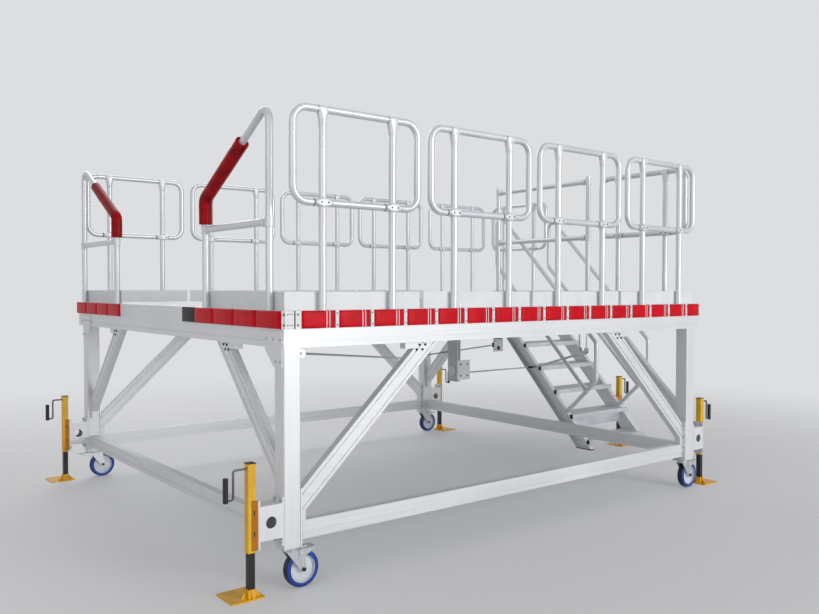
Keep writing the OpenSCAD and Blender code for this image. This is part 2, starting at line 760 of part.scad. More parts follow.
// Saddles: slanted cheeks beside each jack, rounded at their outer corners, and the arm of the stair's jack
saddle_r = 24;
saddle_lip = 4;
arm_up = 75;
module jack_saddles() color("orange") place() {
    at_jacks() intersection() {
        for (s = [-1, 1]) translate([-jack_s / 2, 0, flange_z]) linear_extrude(flange_h) polygon([
            [0, s * jack_s / 2], [0, s * leg_s / 2], [saddle_lip, s * leg_s / 2], [saddle_d, s * jack_s / 2]
        ]);
        translate([-jack_s / 2 - 1, -leg_s / 2, flange_z]) rotate([90, 0, 90])
            linear_extrude(saddle_d + 2) round_plate(leg_s, flange_h, saddle_r);
    }
    translate([outer_x, jack5_y - leg_s / 2, flange_z + arm_up]) cube([jack5_arm, leg_s, flange_h - arm_up]);
}

crank_z = 675;
grip_z = 515;
grip_l = 125;
crank_d = 12;
crank_in = 95;
module jack_cranks() color("silver") place() at_jacks() {
    low = grip_z + 10;
    bent_tube([[jack_s / 2, crank_z], [crank_in, crank_z], [crank_in, low], [crank_reach, low]], 14, crank_d);
    translate([crank_reach, 0, grip_z]) cylinder(d = grip_d, h = grip_l);
}

// Sliding leg of a jack with its foot plate
socket_t = 5;
rib_t = 6;
rib_l = 36;
foot_r = 8;
leg_in = 220;
module jack_leg(i) color("black") place() translate([JACKS[i][0], JACKS[i][1], 0]) {
    half = inner_s / 2 + socket_t;
    off = [JACKS[i][3], JACKS[i][4], -JACKS[i][3], -JACKS[i][4]];
    translate([-inner_s / 2, -inner_s / 2, foot_t]) cube([inner_s, inner_s, jack_low_z + leg_in - foot_t]);
    translate([off[0] - foot_s / 2, off[1] - foot_s / 2, 0])
        linear_extrude(foot_t) round_plate(foot_s, foot_s, foot_r);
    translate([-half, -half, foot_t]) cube([2 * half, 2 * half, socket_h - foot_t]);
    for (k = [0:3]) {
        l = min(rib_l, foot_s / 2 + off[k] - half);
        rotate([0, 0, 90 * k]) translate([half, rib_t / 2, foot_t]) rotate([90, 0, 0])
            linear_extrude(rib_t) polygon([[0, 0], [l, 0], [0, socket_h - foot_t]]);
    }
}

module jack_leg_1() jack_leg(0);
module jack_leg_2() jack_leg(1);
module jack_leg_3() jack_leg(2);
module jack_leg_4() jack_leg(3);
module jack_leg_5() jack_leg(4);

// Castors
race_d = 78;
boss_r = 20;
module castor_heads() color("silver") place()
    for (c = CASTORS) translate([c[0], c[1], 0]) {
        translate([-67, -leg_s / 2, leg_bottom - head_t]) cube([135, leg_s, head_t]);
        translate([0, 0, fork_z + race_h + race_gap]) cylinder(d = race_d, h = race_h - race_gap);
    }

pedal_w = 44;
pedal_l = 90;
module castor_fork(i) color("silver") place() translate([CASTORS[i][0], CASTORS[i][1], 0]) {
    half = hub_w / 2 + side_gap;
    axle_z = wheel_d / 2;
    cylinder_z = fork_z - cheek_t;
    translate([0, 0, cylinder_z]) cylinder(d = race_d + 8, h = race_h + cheek_t);
    block(-45, 55, -half - cheek_t, half + cheek_t, cylinder_z, fork_z);
    for (s = [-1, 1])
        translate([0, s > 0 ? half + cheek_t : -half, 0]) rotate([90, 0, 0]) linear_extrude(cheek_t) {
            polygon([[-45, fork_z], [55, fork_z], [trail + boss_r, axle_z], [trail - boss_r, axle_z]]);
            translate([trail, axle_z]) circle(r = boss_r);
        }
    translate([trail, 0, axle_z]) rotate([90, 0, 0])
        cylinder(d = axle_d, h = 2 * (half + cheek_t + 6), center = true);
    handed(CASTORS[i][2]) block(40, 40 + pedal_l, -pedal_w / 2, pedal_w / 2, cylinder_z, fork_z + 4);
}

module at_wheel(i) place()
    translate([CASTORS[i][0] + trail, CASTORS[i][1], wheel_d / 2]) rotate([-90, 0, 0]) children();

module wheel_hub(i) color("whitesmoke") at_wheel(i) rotate_extrude() polygon([
    [axle_d / 2 + 0.1, -hub_w / 2], [22, -hub_w / 2], [24, -8], [rim_r - 12, -6], [rim_r - 6, -wheel_w / 2],
    [rim_r, -wheel_w / 2], [rim_r, wheel_w / 2], [rim_r - 6, wheel_w / 2], [rim_r - 12, 6], [24, 8],
    [22, hub_w / 2], [axle_d / 2 + 0.1, hub_w / 2]
]);

tread_edge = 6;
module wheel_tyre(i) color("navy") at_wheel(i) rotate_extrude() {
    translate([rim_r, -wheel_w / 2]) square([wheel_d / 2 - tread_edge - rim_r, wheel_w]);
    translate([rim_r, -wheel_w / 2 + tread_edge]) square([wheel_d / 2 - rim_r, wheel_w - 2 * tread_edge]);
    for (z = [-wheel_w / 2 + tread_edge, wheel_w / 2 - tread_edge])
        translate([wheel_d / 2 - tread_edge, z]) circle(r = tread_edge);
}

module castor_fork_1() castor_fork(0);
module castor_fork_2() castor_fork(1);
module castor_fork_3() castor_fork(2);
module castor_fork_4() castor_fork(3);
module wheel_hub_1() wheel_hub(0);
module wheel_hub_2() wheel_hub(1);
module wheel_hub_3() wheel_hub(2);
module wheel_hub_4() wheel_hub(3);
module wheel_tyre_1() wheel_tyre(0);
module wheel_tyre_2() wheel_tyre(1);
module wheel_tyre_3() wheel_tyre(2);
module wheel_tyre_4() wheel_tyre(3);

leg_front_left();
leg_front_right();
leg_rear_left();
leg_rear_right();
lower_rails();
long_beams();
cross_beams();
long_braces();
cross_braces();
deck_joists();
deck_planks();
bumper_carriers();
bumper_pads();
bumper_ends();
guard_loops_front();
guard_loops_rear();
guard_loops_right();
guard_loops_landing();
guard_posts();
guard_fittings();
guard_left();
foam_sleeves();
barrier_bars();
toe_boards();
landing_frame();
landing_deck();
stair_stringers();
stair_feet();
stair_treads();
stair_handrails();
drop_column();
stay_rods();
jack_tubes();
jack_saddles();
jack_cranks();
castor_heads();
castor_fork_1();
castor_fork_2();
castor_fork_3();
castor_fork_4();
wheel_hub_1();
wheel_hub_2();
wheel_hub_3();
wheel_hub_4();
wheel_tyre_1();
wheel_tyre_2();
wheel_tyre_3();
wheel_tyre_4();
jack_leg_1();
jack_leg_2();
jack_leg_3();
jack_leg_4();
jack_leg_5();
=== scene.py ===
# A mobile aluminium platform for aircraft upkeep, dressed piece by piece in the order in
# which it is bolted together. Metres; x runs along the padded front face, y to the rear.
import math

import bmesh
import bpy
from mathutils import Matrix, Vector, noise


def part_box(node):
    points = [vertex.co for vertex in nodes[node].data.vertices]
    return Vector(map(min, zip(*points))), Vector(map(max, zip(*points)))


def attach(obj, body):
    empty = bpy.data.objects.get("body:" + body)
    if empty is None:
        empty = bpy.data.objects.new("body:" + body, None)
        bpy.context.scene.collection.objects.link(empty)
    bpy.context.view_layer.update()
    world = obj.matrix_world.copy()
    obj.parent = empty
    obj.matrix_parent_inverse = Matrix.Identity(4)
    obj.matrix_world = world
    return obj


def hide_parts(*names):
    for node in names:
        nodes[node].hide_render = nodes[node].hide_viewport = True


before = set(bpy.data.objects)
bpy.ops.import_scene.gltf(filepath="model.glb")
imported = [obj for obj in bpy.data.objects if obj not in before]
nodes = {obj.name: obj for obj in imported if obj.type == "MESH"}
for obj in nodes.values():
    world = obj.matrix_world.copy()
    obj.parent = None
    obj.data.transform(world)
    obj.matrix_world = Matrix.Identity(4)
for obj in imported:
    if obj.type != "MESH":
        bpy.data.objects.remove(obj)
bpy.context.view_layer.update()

# The frame: four square legs, lower rails, edge beams and braces, all extruded aluminium.
# The profiles are anodised after extrusion, which leaves a pale satin skin with faint
# lines along each length. Every place below is counted from the front left corner.
home = Vector((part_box("long_beams")[0].x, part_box("long_beams")[0].y, 0.0))
deck_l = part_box("long_beams")[1].x - home.x
deck_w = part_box("long_beams")[1].y - home.y
beam_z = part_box("long_beams")[0].z
deck_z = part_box("long_beams")[1].z
leg_s = 0.100
joint_in = leg_s + 0.010  # a leg's joint plate reaches this far in from its outer face
frame_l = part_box("leg_rear_right")[0].x - home.x + joint_in
frame_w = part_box("leg_rear_right")[1].y - home.y
outrigger = 0.138  # from the leg's outer face to the outer flange of its outrigger box
frame_pale = "#EDEEF0"
frame_grey = "#DDDFE3"
frame_edge = 0.0015


def linear(text):
    """An sRGB hex colour as linear red, green, blue and alpha."""
    parts = [int(text[i:i + 2], 16) / 255 for i in (1, 3, 5)]
    return [c / 12.92 if c < 0.04045 else ((c + 0.055) / 1.055) ** 2.4 for c in parts] + [1.0]


def add_node(tree, kind, inputs=None, **settings):
    """Adds a shader node. An input that is given a socket is linked, any other is set."""
    made = tree.nodes.new("ShaderNode" + kind)
    for name, value in settings.items():
        setattr(made, name, value)
    for name, value in (inputs or {}).items():
        if isinstance(value, bpy.types.NodeSocket):
            tree.links.new(value, made.inputs[name])
        else:
            made.inputs[name].default_value = value
    return made


def new_material(name):
    """An empty node material and its tree."""
    material = bpy.data.materials.new(name)
    material.use_nodes = True
    material.node_tree.nodes.clear()
    return material, material.node_tree


def finish_material(tree, shader):
    """Sends a shader to the material's output."""
    add_node(tree, "OutputMaterial", {"Surface": shader.outputs[0]})


def object_place(tree):
    """The place on the object, in metres, that every pattern is drawn in."""
    return add_node(tree, "TexCoord").outputs["Object"]


def cloud(tree, place, scale, detail):
    """A noise pattern, with that many features per metre."""
    return add_node(tree, "TexNoise", {"Vector": place, "Scale": scale, "Detail": detail}).outputs["Fac"]


def blend(tree, share, first, second):
    """Two patterns mixed into one."""
    return add_node(tree, "Mix", {"Factor": share, "A": first, "B": second}, data_type="FLOAT").outputs["Result"]


def bumped(tree, height, strength, distance):
    """A pattern as relief, at most that many metres deep."""
    return add_node(tree, "Bump", {"Height": height, "Strength": strength, "Distance": distance}).outputs[0]


def ranged(tree, value, low, high, from_low=0.0, from_high=1.0):
    """A pattern stretched between two values."""
    return add_node(tree, "MapRange", {
        "Value": value, "From Min": from_low, "From Max": from_high, "To Min": low, "To Max": high,
    }).outputs[0]


def colour_between(tree, factor, low, high, low_at=0.35, high_at=0.65):
    """A colour that follows a pattern from one hex colour to another."""
    ramp = add_node(tree, "ValToRGB", {"Fac": factor})
    ramp.color_ramp.elements[0].position = low_at
    ramp.color_ramp.elements[0].color = linear(low)
    ramp.color_ramp.elements[1].position = high_at
    ramp.color_ramp.elements[1].color = linear(high)
    return ramp.outputs["Color"]


def anodised_aluminium(name, along, dark, pale, metallic=0.3, roughness=0.42):
    """Extruded and anodised: die lines along one axis, drawn 8 mm apart so that they show,
    and faint clouds half a metre long where hands and rags have been."""
    material, tree = new_material(name)
    place = object_place(tree)
    stretch = [0.015 if axis == along else 1.0 for axis in "XYZ"]
    lined = add_node(tree, "Mapping", {"Vector": place, "Scale": stretch}).outputs[0]
    lines = cloud(tree, lined, 120.0, 3.0)
    clouds = cloud(tree, place, 1.9, 3.0)
    tone = blend(tree, 0.45, lines, clouds)
    rough = ranged(tree, tone, roughness - 0.05, roughness + 0.07, 0.3, 0.7)
    bump = bumped(tree, lines, 0.08, 0.0005)
    shader = add_node(tree, "BsdfPrincipled", {
        "Base Color": colour_between(tree, tone, dark, pale, 0.3, 0.7),
        "Metallic": metallic, "Roughness": rough, "Normal": bump,
    })
    finish_material(tree, shader)
    return material


def dress(node, material, edge=0.0):
    """Gives a solid of the frame its material, and breaks its sharp edges as a deburring tool does."""
    solid = nodes[node]
    solid.data.materials.clear()
    solid.data.materials.append(material)
    if edge:
        bevel = solid.modifiers.new("broken_edges", "BEVEL")
        bevel.width = edge
        bevel.segments = 2
        bevel.limit_method = "ANGLE"
        bevel.angle_limit = math.radians(40)
        bevel.harden_normals = True


aluminium_x = anodised_aluminium("anodised_aluminium_x", "X", frame_grey, frame_pale)
aluminium_y = anodised_aluminium("anodised_aluminium_y", "Y", frame_grey, frame_pale)
aluminium_z = anodised_aluminium("anodised_aluminium_z", "Z", frame_grey, frame_pale)
for name, metal in (
    ("leg_front_left", aluminium_z), ("leg_front_right", aluminium_z), ("leg_rear_left", aluminium_z),
    ("leg_rear_right", aluminium_z), ("lower_rails", aluminium_x), ("long_beams", aluminium_x),
    ("long_braces", aluminium_x), ("cross_beams", aluminium_y), ("cross_braces", aluminium_y),
):
    dress(name, metal, frame_edge)

# Frame bolts: hexagon heads on washers, M12 where they clamp the outrigger flanges to the
# legs, M8 on the joint plates and on the gusset plates of the left beam. Bright zinc plate,
# which gives a hard, slightly blue glint beside the satin aluminium.
zinc_dark = "#A9ADB2"
zinc_pale = "#D6D9DD"


def zinc_plated_steel():
    """Pressed or headed steel, bright zinc plated: a grain 4 mm across and a soft blue sheen."""
    material, tree = new_material("zinc_plated_steel")
    place = object_place(tree)
    haze = cloud(tree, place, 250.0, 4.0)
    wear = cloud(tree, place, 14.0, 5.0)
    tone = blend(tree, 0.5, haze, wear)
    rough = ranged(tree, wear, 0.22, 0.42)
    shader = add_node(tree, "BsdfPrincipled", {
        "Base Color": colour_between(tree, tone, zinc_dark, zinc_pale), "Metallic": 1.0, "Roughness": rough,
    })
    finish_material(tree, shader)
    return material


def turned(bm, place, axis, profile, sides=24, slot=0, start=0.0, hollow=False):
    """Adds a turned form: rings of (radius, height) along an axis. Both ends are closed, or
    the last ring joins the first in a hollow one."""
    turn = Vector(axis).to_track_quat("Z", "Y").to_matrix()
    rings = []
    for radius, height in profile:
        ring = []
        for i in range(sides):
            a = start + 2 * math.pi * i / sides
            ring.append(bm.verts.new(place + turn @ Vector((radius * math.cos(a), radius * math.sin(a), height))))
        rings.append(ring)
    faces = [] if hollow else [bm.faces.new(rings[0]), bm.faces.new(rings[-1])]
    for low, high in zip(rings, rings[1:] + (rings[:1] if hollow else [])):
        for i in range(sides):
            j = (i + 1) % sides
            faces.append(bm.faces.new((low[i], low[j], high[j], high[i])))
    for face in faces:
        face.material_index = slot


def make_piece(name, bm, materials, body="platform", sharp=35.0):
    """Turns a built mesh into a piece that rides on a body, with smooth curves and crisp edges."""
    bmesh.ops.recalc_face_normals(bm, faces=bm.faces)
    mesh = bpy.data.meshes.new(name)
    bm.to_mesh(mesh)
    bm.free()
    for material in materials:
        mesh.materials.append(material)
    mesh.shade_smooth()
    mesh.set_sharp_from_angle(angle=math.radians(sharp))
    piece = bpy.data.objects.new(name, mesh)
    bpy.context.scene.collection.objects.link(piece)
    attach(piece, body)
    return piece


def hex_bolt(bm, place, axis, size):
    """A washer and a chamfered hexagon head for a thread of that size."""
    turned(bm, place, axis, [(size * 1.0, 0.0), (size * 1.0, size * 0.16), (size * 0.94, size * 0.2)])
    top = place + Vector(axis) * size * 0.2
    turned(bm, top, axis, [
        (size * 0.86, 0.0), (size * 0.86, size * 0.5), (size * 0.72, size * 0.6), (size * 0.3, size * 0.61),
    ], 6)


zinc = zinc_plated_steel()
flange_m = 0.012
plate_m = 0.008
bolts = bmesh.new()
for x, side in ((0.0, 1), (frame_l, -1)):
    for y in (0.0, frame_w - leg_s):
        for dy in (0.020, 0.080):
            for z in (0.277, 0.496):
                hex_bolt(bolts, home + Vector((x - side * 0.010, y + dy, z)), (-side, 0, 0), flange_m)
                hex_bolt(bolts, home + Vector((x - side * outrigger, y + dy, z)), (side, 0, 0), flange_m)
        for dy in (0.012, 0.088):
            for z in (0.285, 0.335, 0.420, 0.510):
                hex_bolt(bolts, home + Vector((x + side * joint_in, y + dy, z)), (side, 0, 0), plate_m)
for y, side in ((0.0, 1), (frame_w, -1)):
    for dy, dz in ((0.030, -0.070), (0.078, -0.070), (0.030, 0.045), (0.105, 0.045), (0.180, 0.045)):
        hex_bolt(bolts, home + Vector((-0.006, y + side * dy, beam_z + dz)), (-1, 0, 0), plate_m)
make_piece("frame_bolts", bolts, [zinc])

# Brace bolts: each brace is cut level under its beam and held there by four black oxide
# screws in two rows. Black oxide is a thin oily skin, nearly matt.


def powder_coat(name, deep, bright, roughness=0.36):
    """Baked powder paint: orange peel 2.4 mm across, a shade duller where it has been rubbed."""
    material, tree = new_material(name)
    place = object_place(tree)
    peel = cloud(tree, place, 420.0, 2.0)
    rubbed = cloud(tree, place, 9.0, 6.0)
    rough = ranged(tree, rubbed, roughness - 0.06, roughness + 0.12, 0.3, 0.7)
    bump = bumped(tree, peel, 0.12, 0.0004)
    shader = add_node(tree, "BsdfPrincipled", {
        "Base Color": colour_between(tree, rubbed, deep, bright), "Roughness": rough, "Normal": bump,
    })
    finish_material(tree, shader)
    return material


# The same black also draws painted shadow: strips beside the pads' white lines, a ring at each socket's edge, and the
# corner cap's slots.
black_oxide_and_painted_shadow = powder_coat("black_oxide_and_painted_shadow_steel", "#0B0B0C", "#1A1A1C", 0.42)
screws = bmesh.new()
for run, across in ((0.890, False), (0.690, True)):
    for far_x in (False, True):
        for far_y in (False, True):
            for back, drop in ((0.030, 0.018), (0.074, 0.018), (0.052, 0.046), (0.096, 0.046)):
                z = beam_z - drop
                if across:
                    spots = [(0.025, leg_s + run - back, (-1, 0, 0)), (0.075, leg_s + run - back, (1, 0, 0))]
                else:
                    x = joint_in + run - back
                    spots = [(x, 0.025, (0, -1, 0)), (x, 0.075, (0, 1, 0))]
                for sx, sy, axis in spots:
                    if far_x:
                        sx, axis = frame_l - sx, (-axis[0], axis[1], 0)
                    if far_y:
                        sy, axis = frame_w - sy, (axis[0], -axis[1], 0)
                    turned(screws, home + Vector((sx, sy, z)), axis, [
                        (0.0075, -0.001), (0.0075, 0.0035), (0.0064, 0.0045), (0.0042, 0.0045), (0.0038, 0.0015),
                    ], 16)
make_piece("brace_screws", screws, [black_oxide_and_painted_shadow])

# The deck: hollow planks side by side on their joists. Each plank's top has fine ribs for
# grip, scuffed by boots, and the joists under it are plain profiles.
deck_grey = "#B4B8BC"
deck_pale = "#D3D6D9"
rib_pitch = 0.010


def ribbed_aluminium(name, dark, pale):
    """Extruded deck plank: ribs at a 10 mm pitch, bright on top and dull between."""
    material, tree = new_material(name)
    place = object_place(tree)
    back = add_node(tree, "SeparateXYZ", {"Vector": place}).outputs["Y"]
    turns = add_node(tree, "Math", {0: back, 1: 2 * math.pi / rib_pitch}, operation="MULTIPLY")
    ribs = add_node(tree, "Math", {0: turns.outputs[0]}, operation="SINE").outputs[0]
    drawn = add_node(tree, "Mapping", {"Vector": place, "Scale": [0.25, 1.0, 1.0]}).outputs[0]
    scuffs = cloud(tree, drawn, 21.0, 6.0)
    rough = ranged(tree, scuffs, 0.36, 0.54)
    bump = bumped(tree, ribs, 0.4, 0.0006)
    shader = add_node(tree, "BsdfPrincipled", {
        "Base Color": colour_between(tree, scuffs, dark, pale, 0.25, 0.75), "Metallic": 0.4, "Roughness": rough,
        "Normal": bump,
    })
    finish_material(tree, shader)
    return material


deck_aluminium = ribbed_aluminium("ribbed_deck_aluminium", deck_grey, deck_pale)
dress("deck_planks", deck_aluminium)
dress("landing_deck", deck_aluminium)
dress("deck_joists", aluminium_y)

# Toe boards: flat white-coated aluminium strips that stand on edge round the deck.
white_coat = powder_coat("white_powder_coat", "#E9EBED", "#F1F2F3", 0.42)
dress("toe_boards", white_coat, 0.001)

# The bumper's carrier: a white-coated channel along the front and at both ends of the left
# face. A white strap between two pads holds them down with two black screws. The corner
# has a cap of its own, with a black joint line and two long slots, drawn as thin black strips
# that are painted shade, and a rubber block ends the near left band.
dress("bumper_carriers", white_coat)
carrier_t = 0.012
bump_h = 0.095
bump_z = deck_z - bump_h
corner_cap = 0.100
front_pads = 16
pad_strip = 0.024
pad_pitch = 0.2345
left_band = 1.080
left_pads = 4
block_l = 0.210


def plate(bm, outline, place, across, up, thick, slot=0):
    """Adds a plate cut to an outline that runs across and up from its place."""
    across, up = Vector(across), Vector(up)
    through = across.cross(up) * thick
    front = [bm.verts.new(place + across * a + up * b) for a, b in outline]
    back = [bm.verts.new(v.co + through) for v in front]
    faces = [bm.faces.new(front), bm.faces.new(back)]
    for i in range(len(front)):
        j = (i + 1) % len(front)
        faces.append(bm.faces.new((front[i], front[j], back[j], back[i])))
    for face in faces:
        face.material_index = slot


def screw_head(bm, place, axis, radius, slot=0):
    """A pan head with a shallow recess."""
    turned(bm, place, axis, [
        (radius, 0.0), (radius, radius * 0.3), (radius * 0.8, radius * 0.5), (radius * 0.4, radius * 0.5),
        (radius * 0.3, radius * 0.25),
    ], 16, slot)


straps = bmesh.new()
for i in range(front_pads):
    x = min(corner_cap + (i + 1) * pad_pitch, deck_l) - pad_strip / 2
    plate(straps, [(-0.0105, 0.001), (0.0105, 0.001), (0.0105, bump_h - 0.001), (-0.0105, bump_h - 0.001)],
          home + Vector((x, -carrier_t, bump_z)), (1, 0, 0), (0, 0, 1), 0.003)
    for z in (0.016, 0.079):
        screw_head(straps, home + Vector((x, -carrier_t - 0.003, bump_z + z)), (0, -1, 0), 0.0042, 1)
for x, radius in ((-0.004, 0.0050), (0.015, 0.0028), (0.078, 0.0050)):
    for z in (0.020, 0.075):
        screw_head(straps, home + Vector((x, -carrier_t, bump_z + z)), (0, -1, 0), radius, 1)
line = [(0.0, 0.0), (0.007, 0.0), (0.007, bump_h), (0.0, bump_h)]
plate(straps, line, home + Vector((0.056, -carrier_t, bump_z)), (1, 0, 0), (0, 0, 1), 0.0012, 1)
# The cap's two slots: thin black strips of painted shade.
for z in (0.018, 0.076):
    plate(straps, [(0.0, 0.0), (0.036, 0.0), (0.036, 0.0022), (0.0, 0.0022)],
          home + Vector((0.017, -carrier_t, bump_z + z)), (1, 0, 0), (0, 0, 1), 0.0008, 1)
make_piece("bumper_straps", straps, [white_coat, black_oxide_and_painted_shadow])
block_end = bmesh.new()
plate(block_end, [
    (0.0, 0.0), (-0.010, 0.0), (-carrier_t, 0.003), (-carrier_t, block_l - 0.003), (-0.010, block_l), (0.0, block_l),
], home + Vector((0.0, left_band, bump_z + 0.001)), (1, 0, 0), (0, 1, 0), bump_h - 0.002)
block_rubber = powder_coat("black_rubber_block", "#1B1A18", "#2B2926", 0.6)
rubber_block = make_piece("bumper_end_block", block_end, [block_rubber])
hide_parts("bumper_ends")

# The bumper's pads: red vinyl over dense foam, arched and drawn in at their edges. Each one
# in front has two white lines of piping, each with a black strip at its right that is painted
# shadow, and a black strip at its right end; those on the left face lie end to end. Vinyl
# shines evenly, with a fine leather grain 1 mm across.
pad_bulge = 0.014
pad_rim = 0.009
line_w = 0.0052
piping_shadow_w = 0.0018
end_strip = 0.009
left_gap = 0.004


def red_vinyl(name, deep, bright, roughness):
    """Calendered vinyl: a fine grain, low folds 60 mm apart, and a deeper red in the hollows."""
    material, tree = new_material(name)
    place = object_place(tree)
    grain = add_node(tree, "TexVoronoi", {"Vector": place, "Scale": 700.0}).outputs["Distance"]
    folds = cloud(tree, place, 17.0, 3.0)
    grained = bumped(tree, grain, 0.12, 0.0003)
    bump = add_node(tree, "Bump", {
        "Height": folds, "Strength": 0.14, "Distance": 0.006, "Normal": grained,
    }).outputs[0]
    rough = ranged(tree, folds, roughness - 0.06, roughness + 0.1)
    shader = add_node(tree, "BsdfPrincipled", {
        "Base Color": colour_between(tree, folds, deep, bright), "Roughness": rough, "Normal": bump,
        "Specular IOR Level": 0.12,
    })
    finish_material(tree, shader)
    return material


def pad(bm, place, along, out, length, marks):
    """One arched pad: its length runs along, its face looks out, its foot is at place."""
    along, out, up = Vector(along), Vector(out), Vector((0, 0, 1))
    marks = [(a / length, b / length, slot) for a, b, slot in marks]
    cuts = {0.0, 0.008, 0.02, 0.05, 0.12, 0.24, 0.36, 0.48, 0.58, 0.88, 0.93, 1.0}
    cuts = sorted(cuts.union(cut for mark in marks for cut in mark[:2]))
    levels = [0.0, 0.012, 0.035, 0.09, 0.2, 0.5, 0.8, 0.91, 0.965, 0.988, 1.0]

    def skin(u, v):
        arch = 1 - abs(2 * u - 1) ** 2.5
        rim = (1 - abs(2 * v - 1) ** 14) ** 0.5
        end = (1 - abs(2 * u - 1) ** 40) ** 0.5
        depth = (pad_rim + (pad_bulge - pad_rim) * arch) * rim * end
        return place + along * (length * u) + up * (bump_h * v) + out * depth

    rows = [[bm.verts.new(skin(u, v)) for u in cuts] for v in levels]
    for low, high in zip(rows, rows[1:]):
        for i in range(len(cuts) - 1):
            face = bm.faces.new((low[i], low[i + 1], high[i + 1], high[i]))
            middle = (cuts[i] + cuts[i + 1]) / 2
            for start, stop, slot in marks:
                if start <= middle <= stop:
                    face.material_index = slot


vinyl = red_vinyl("red_vinyl_pads", "#C80014", "#DE0420", 0.36)
edge_white = powder_coat("white_vinyl_piping", "#E2E4E6", "#F2F3F4", 0.35)
pads = bmesh.new()
for i in range(front_pads):
    start = corner_cap + i * pad_pitch
    length = min(start + pad_pitch, deck_l) - start - pad_strip
    lines = [x for x in (0.1465, 0.1655) if x + 0.008 < length]
    # Each white line gets a black strip at its right: painted shadow.
    marks = [(x, x + line_w, 1) for x in lines] + [(x + line_w, x + line_w + piping_shadow_w, 2) for x in lines]
    pad(pads, home + Vector((start, -carrier_t, bump_z)), (1, 0, 0), (0, -1, 0), length,
        marks + [(length - end_strip, length, 2)])
left_pitch = left_band / left_pads
for start in (0.0, deck_w - left_band):
    for i in range(left_pads):
        foot = home + Vector((-carrier_t, start + (i + 1) * left_pitch - left_gap / 2, bump_z))
        pad(pads, foot, (0, -1, 0), (-1, 0, 0), left_pitch - left_gap, [])
bumper_pads = make_piece("bumper_pads_piped_painted_shadow", pads, [vinyl, edge_white, black_oxide_and_painted_shadow], sharp=50.0)
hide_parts("bumper_pads")

# The guards: 42 mm aluminium tube, bent, brushed round and anodised, on posts of the same
# tube. Brushing leaves hairlines round the tube, drawn 4 mm apart and faint.
tube_dark = "#D3D6DA"
tube_pale = "#E3E6EA"
tube_d = 0.042
guard_h = 1.100


def brushed_tube(name, dark, pale):
    """Anodised tube: satin, a shade brighter than the profiles, with faint brushing."""
    material, tree = new_material(name)
    place = object_place(tree)
    hairs = cloud(tree, place, 250.0, 1.0)
    clouds = cloud(tree, place, 3.0, 4.0)
    tone = blend(tree, 0.8, hairs, clouds)
    rough = ranged(tree, clouds, 0.31, 0.35, 0.3, 0.7)
    bump = bumped(tree, hairs, 0.004, 0.0003)
    shader = add_node(tree, "BsdfPrincipled", {
        "Base Color": colour_between(tree, tone, dark, pale, 0.3, 0.7),
        "Metallic": 0.4, "Roughness": rough, "Normal": bump,
    })
    finish_material(tree, shader)
    return material


tube_metal = brushed_tube("brushed_anodised_tube", tube_dark, tube_pale)
for name in (
    "guard_loops_front", "guard_loops_rear", "guard_loops_right", "guard_loops_landing",
    "guard_posts", "guard_left", "barrier_bars", "stair_handrails",
):
    dress(name, tube_metal)

# The guards' fittings: cast aluminium. A flared socket carries the top tube on each post,
# held by one rivet, and a thin black ring on the tube at one edge of the socket is painted
# shadow. Where the middle tube crosses, a crowned boss shaped like a lens has two screws, and
# the tube's joint shows as a dark line beside it. Cast metal is duller than tube.
cast_metal = anodised_aluminium("cast_aluminium", "Z", "#D9DBDE", "#EEEFF1")
rail_z = deck_z + guard_h - tube_d / 2
mid_z = rail_z - 0.542 + tube_d
post_gap = 0.470
front_loops = 4
loop_inset = 0.015
module_pitch = (deck_l - 2 * loop_inset) / front_loops
landing_l = 0.980
front_row = tube_d / 2 + 0.001
rear_row = deck_w - tube_d / 2 - 0.019
bar_x = deck_l - 0.094
x_way, y_way = Vector((1, 0, 0)), Vector((0, 1, 0))
# Each guard loop: the middle of its two posts, the way it runs and the way it faces.
guard_rows = [
    (loop_inset + (i + 0.5) * module_pitch, y, x_way, -y_way) for y in (front_row, rear_row) for i in range(front_loops)
]
guard_rows += [
    (bar_x, 0.490, y_way, x_way), (deck_l + landing_l / 2, rear_row, x_way, -y_way),
    (deck_l + landing_l - tube_d / 2 - 0.001, deck_w - 0.580, y_way, x_way),
]
socket_rings = [
    (-0.0840, 0.0218, 0.0218, 2.0), (-0.0800, 0.0236, 0.0232, 2.0), (-0.0600, 0.0248, 0.0236, 2.0),
    (-0.0350, 0.0298, 0.0242, 2.4), (-0.0160, 0.0340, 0.0244, 2.8), (0.0020, 0.0344, 0.0240, 3.2),
    (0.0100, 0.0330, 0.0226, 3.2), (0.0130, 0.0310, 0.0165, 3.2),
]
boss_rings = [
    (-0.0286, 0.50), (-0.0280, 0.76), (-0.0264, 0.91), (-0.0235, 1.0), (0.0235, 1.0), (0.0264, 0.91),
    (0.0280, 0.76), (0.0286, 0.50),
]
boss_l = 0.118
boss_h = 0.046


def lofted(bm, rings):
    """Skins rings of points one after another and closes both ends."""
    rows = [[bm.verts.new(point) for point in ring] for ring in rings]
    bm.faces.new(rows[0])
    bm.faces.new(rows[-1])
    for low, high in zip(rows, rows[1:]):
        for i in range(len(low)):
            j = (i + 1) % len(low)
            bm.faces.new((low[i], low[j], high[j], high[i]))


def socket(bm, top, along, out):
    """A flared socket: round where it clamps the post, squarer where it cups the tube."""
    rings = []
    for z, half_l, half_d, square in socket_rings:
        ring = []
        for i in range(36):
            a = 2 * math.pi * i / 36
            c, s = math.cos(a), math.sin(a)
            ring.append(top + along * half_l * math.copysign(abs(c) ** (2 / square), c)
                        + out * half_d * math.copysign(abs(s) ** (2 / square), s) + Vector((0, 0, z)))
        rings.append(ring)
    lofted(bm, rings)


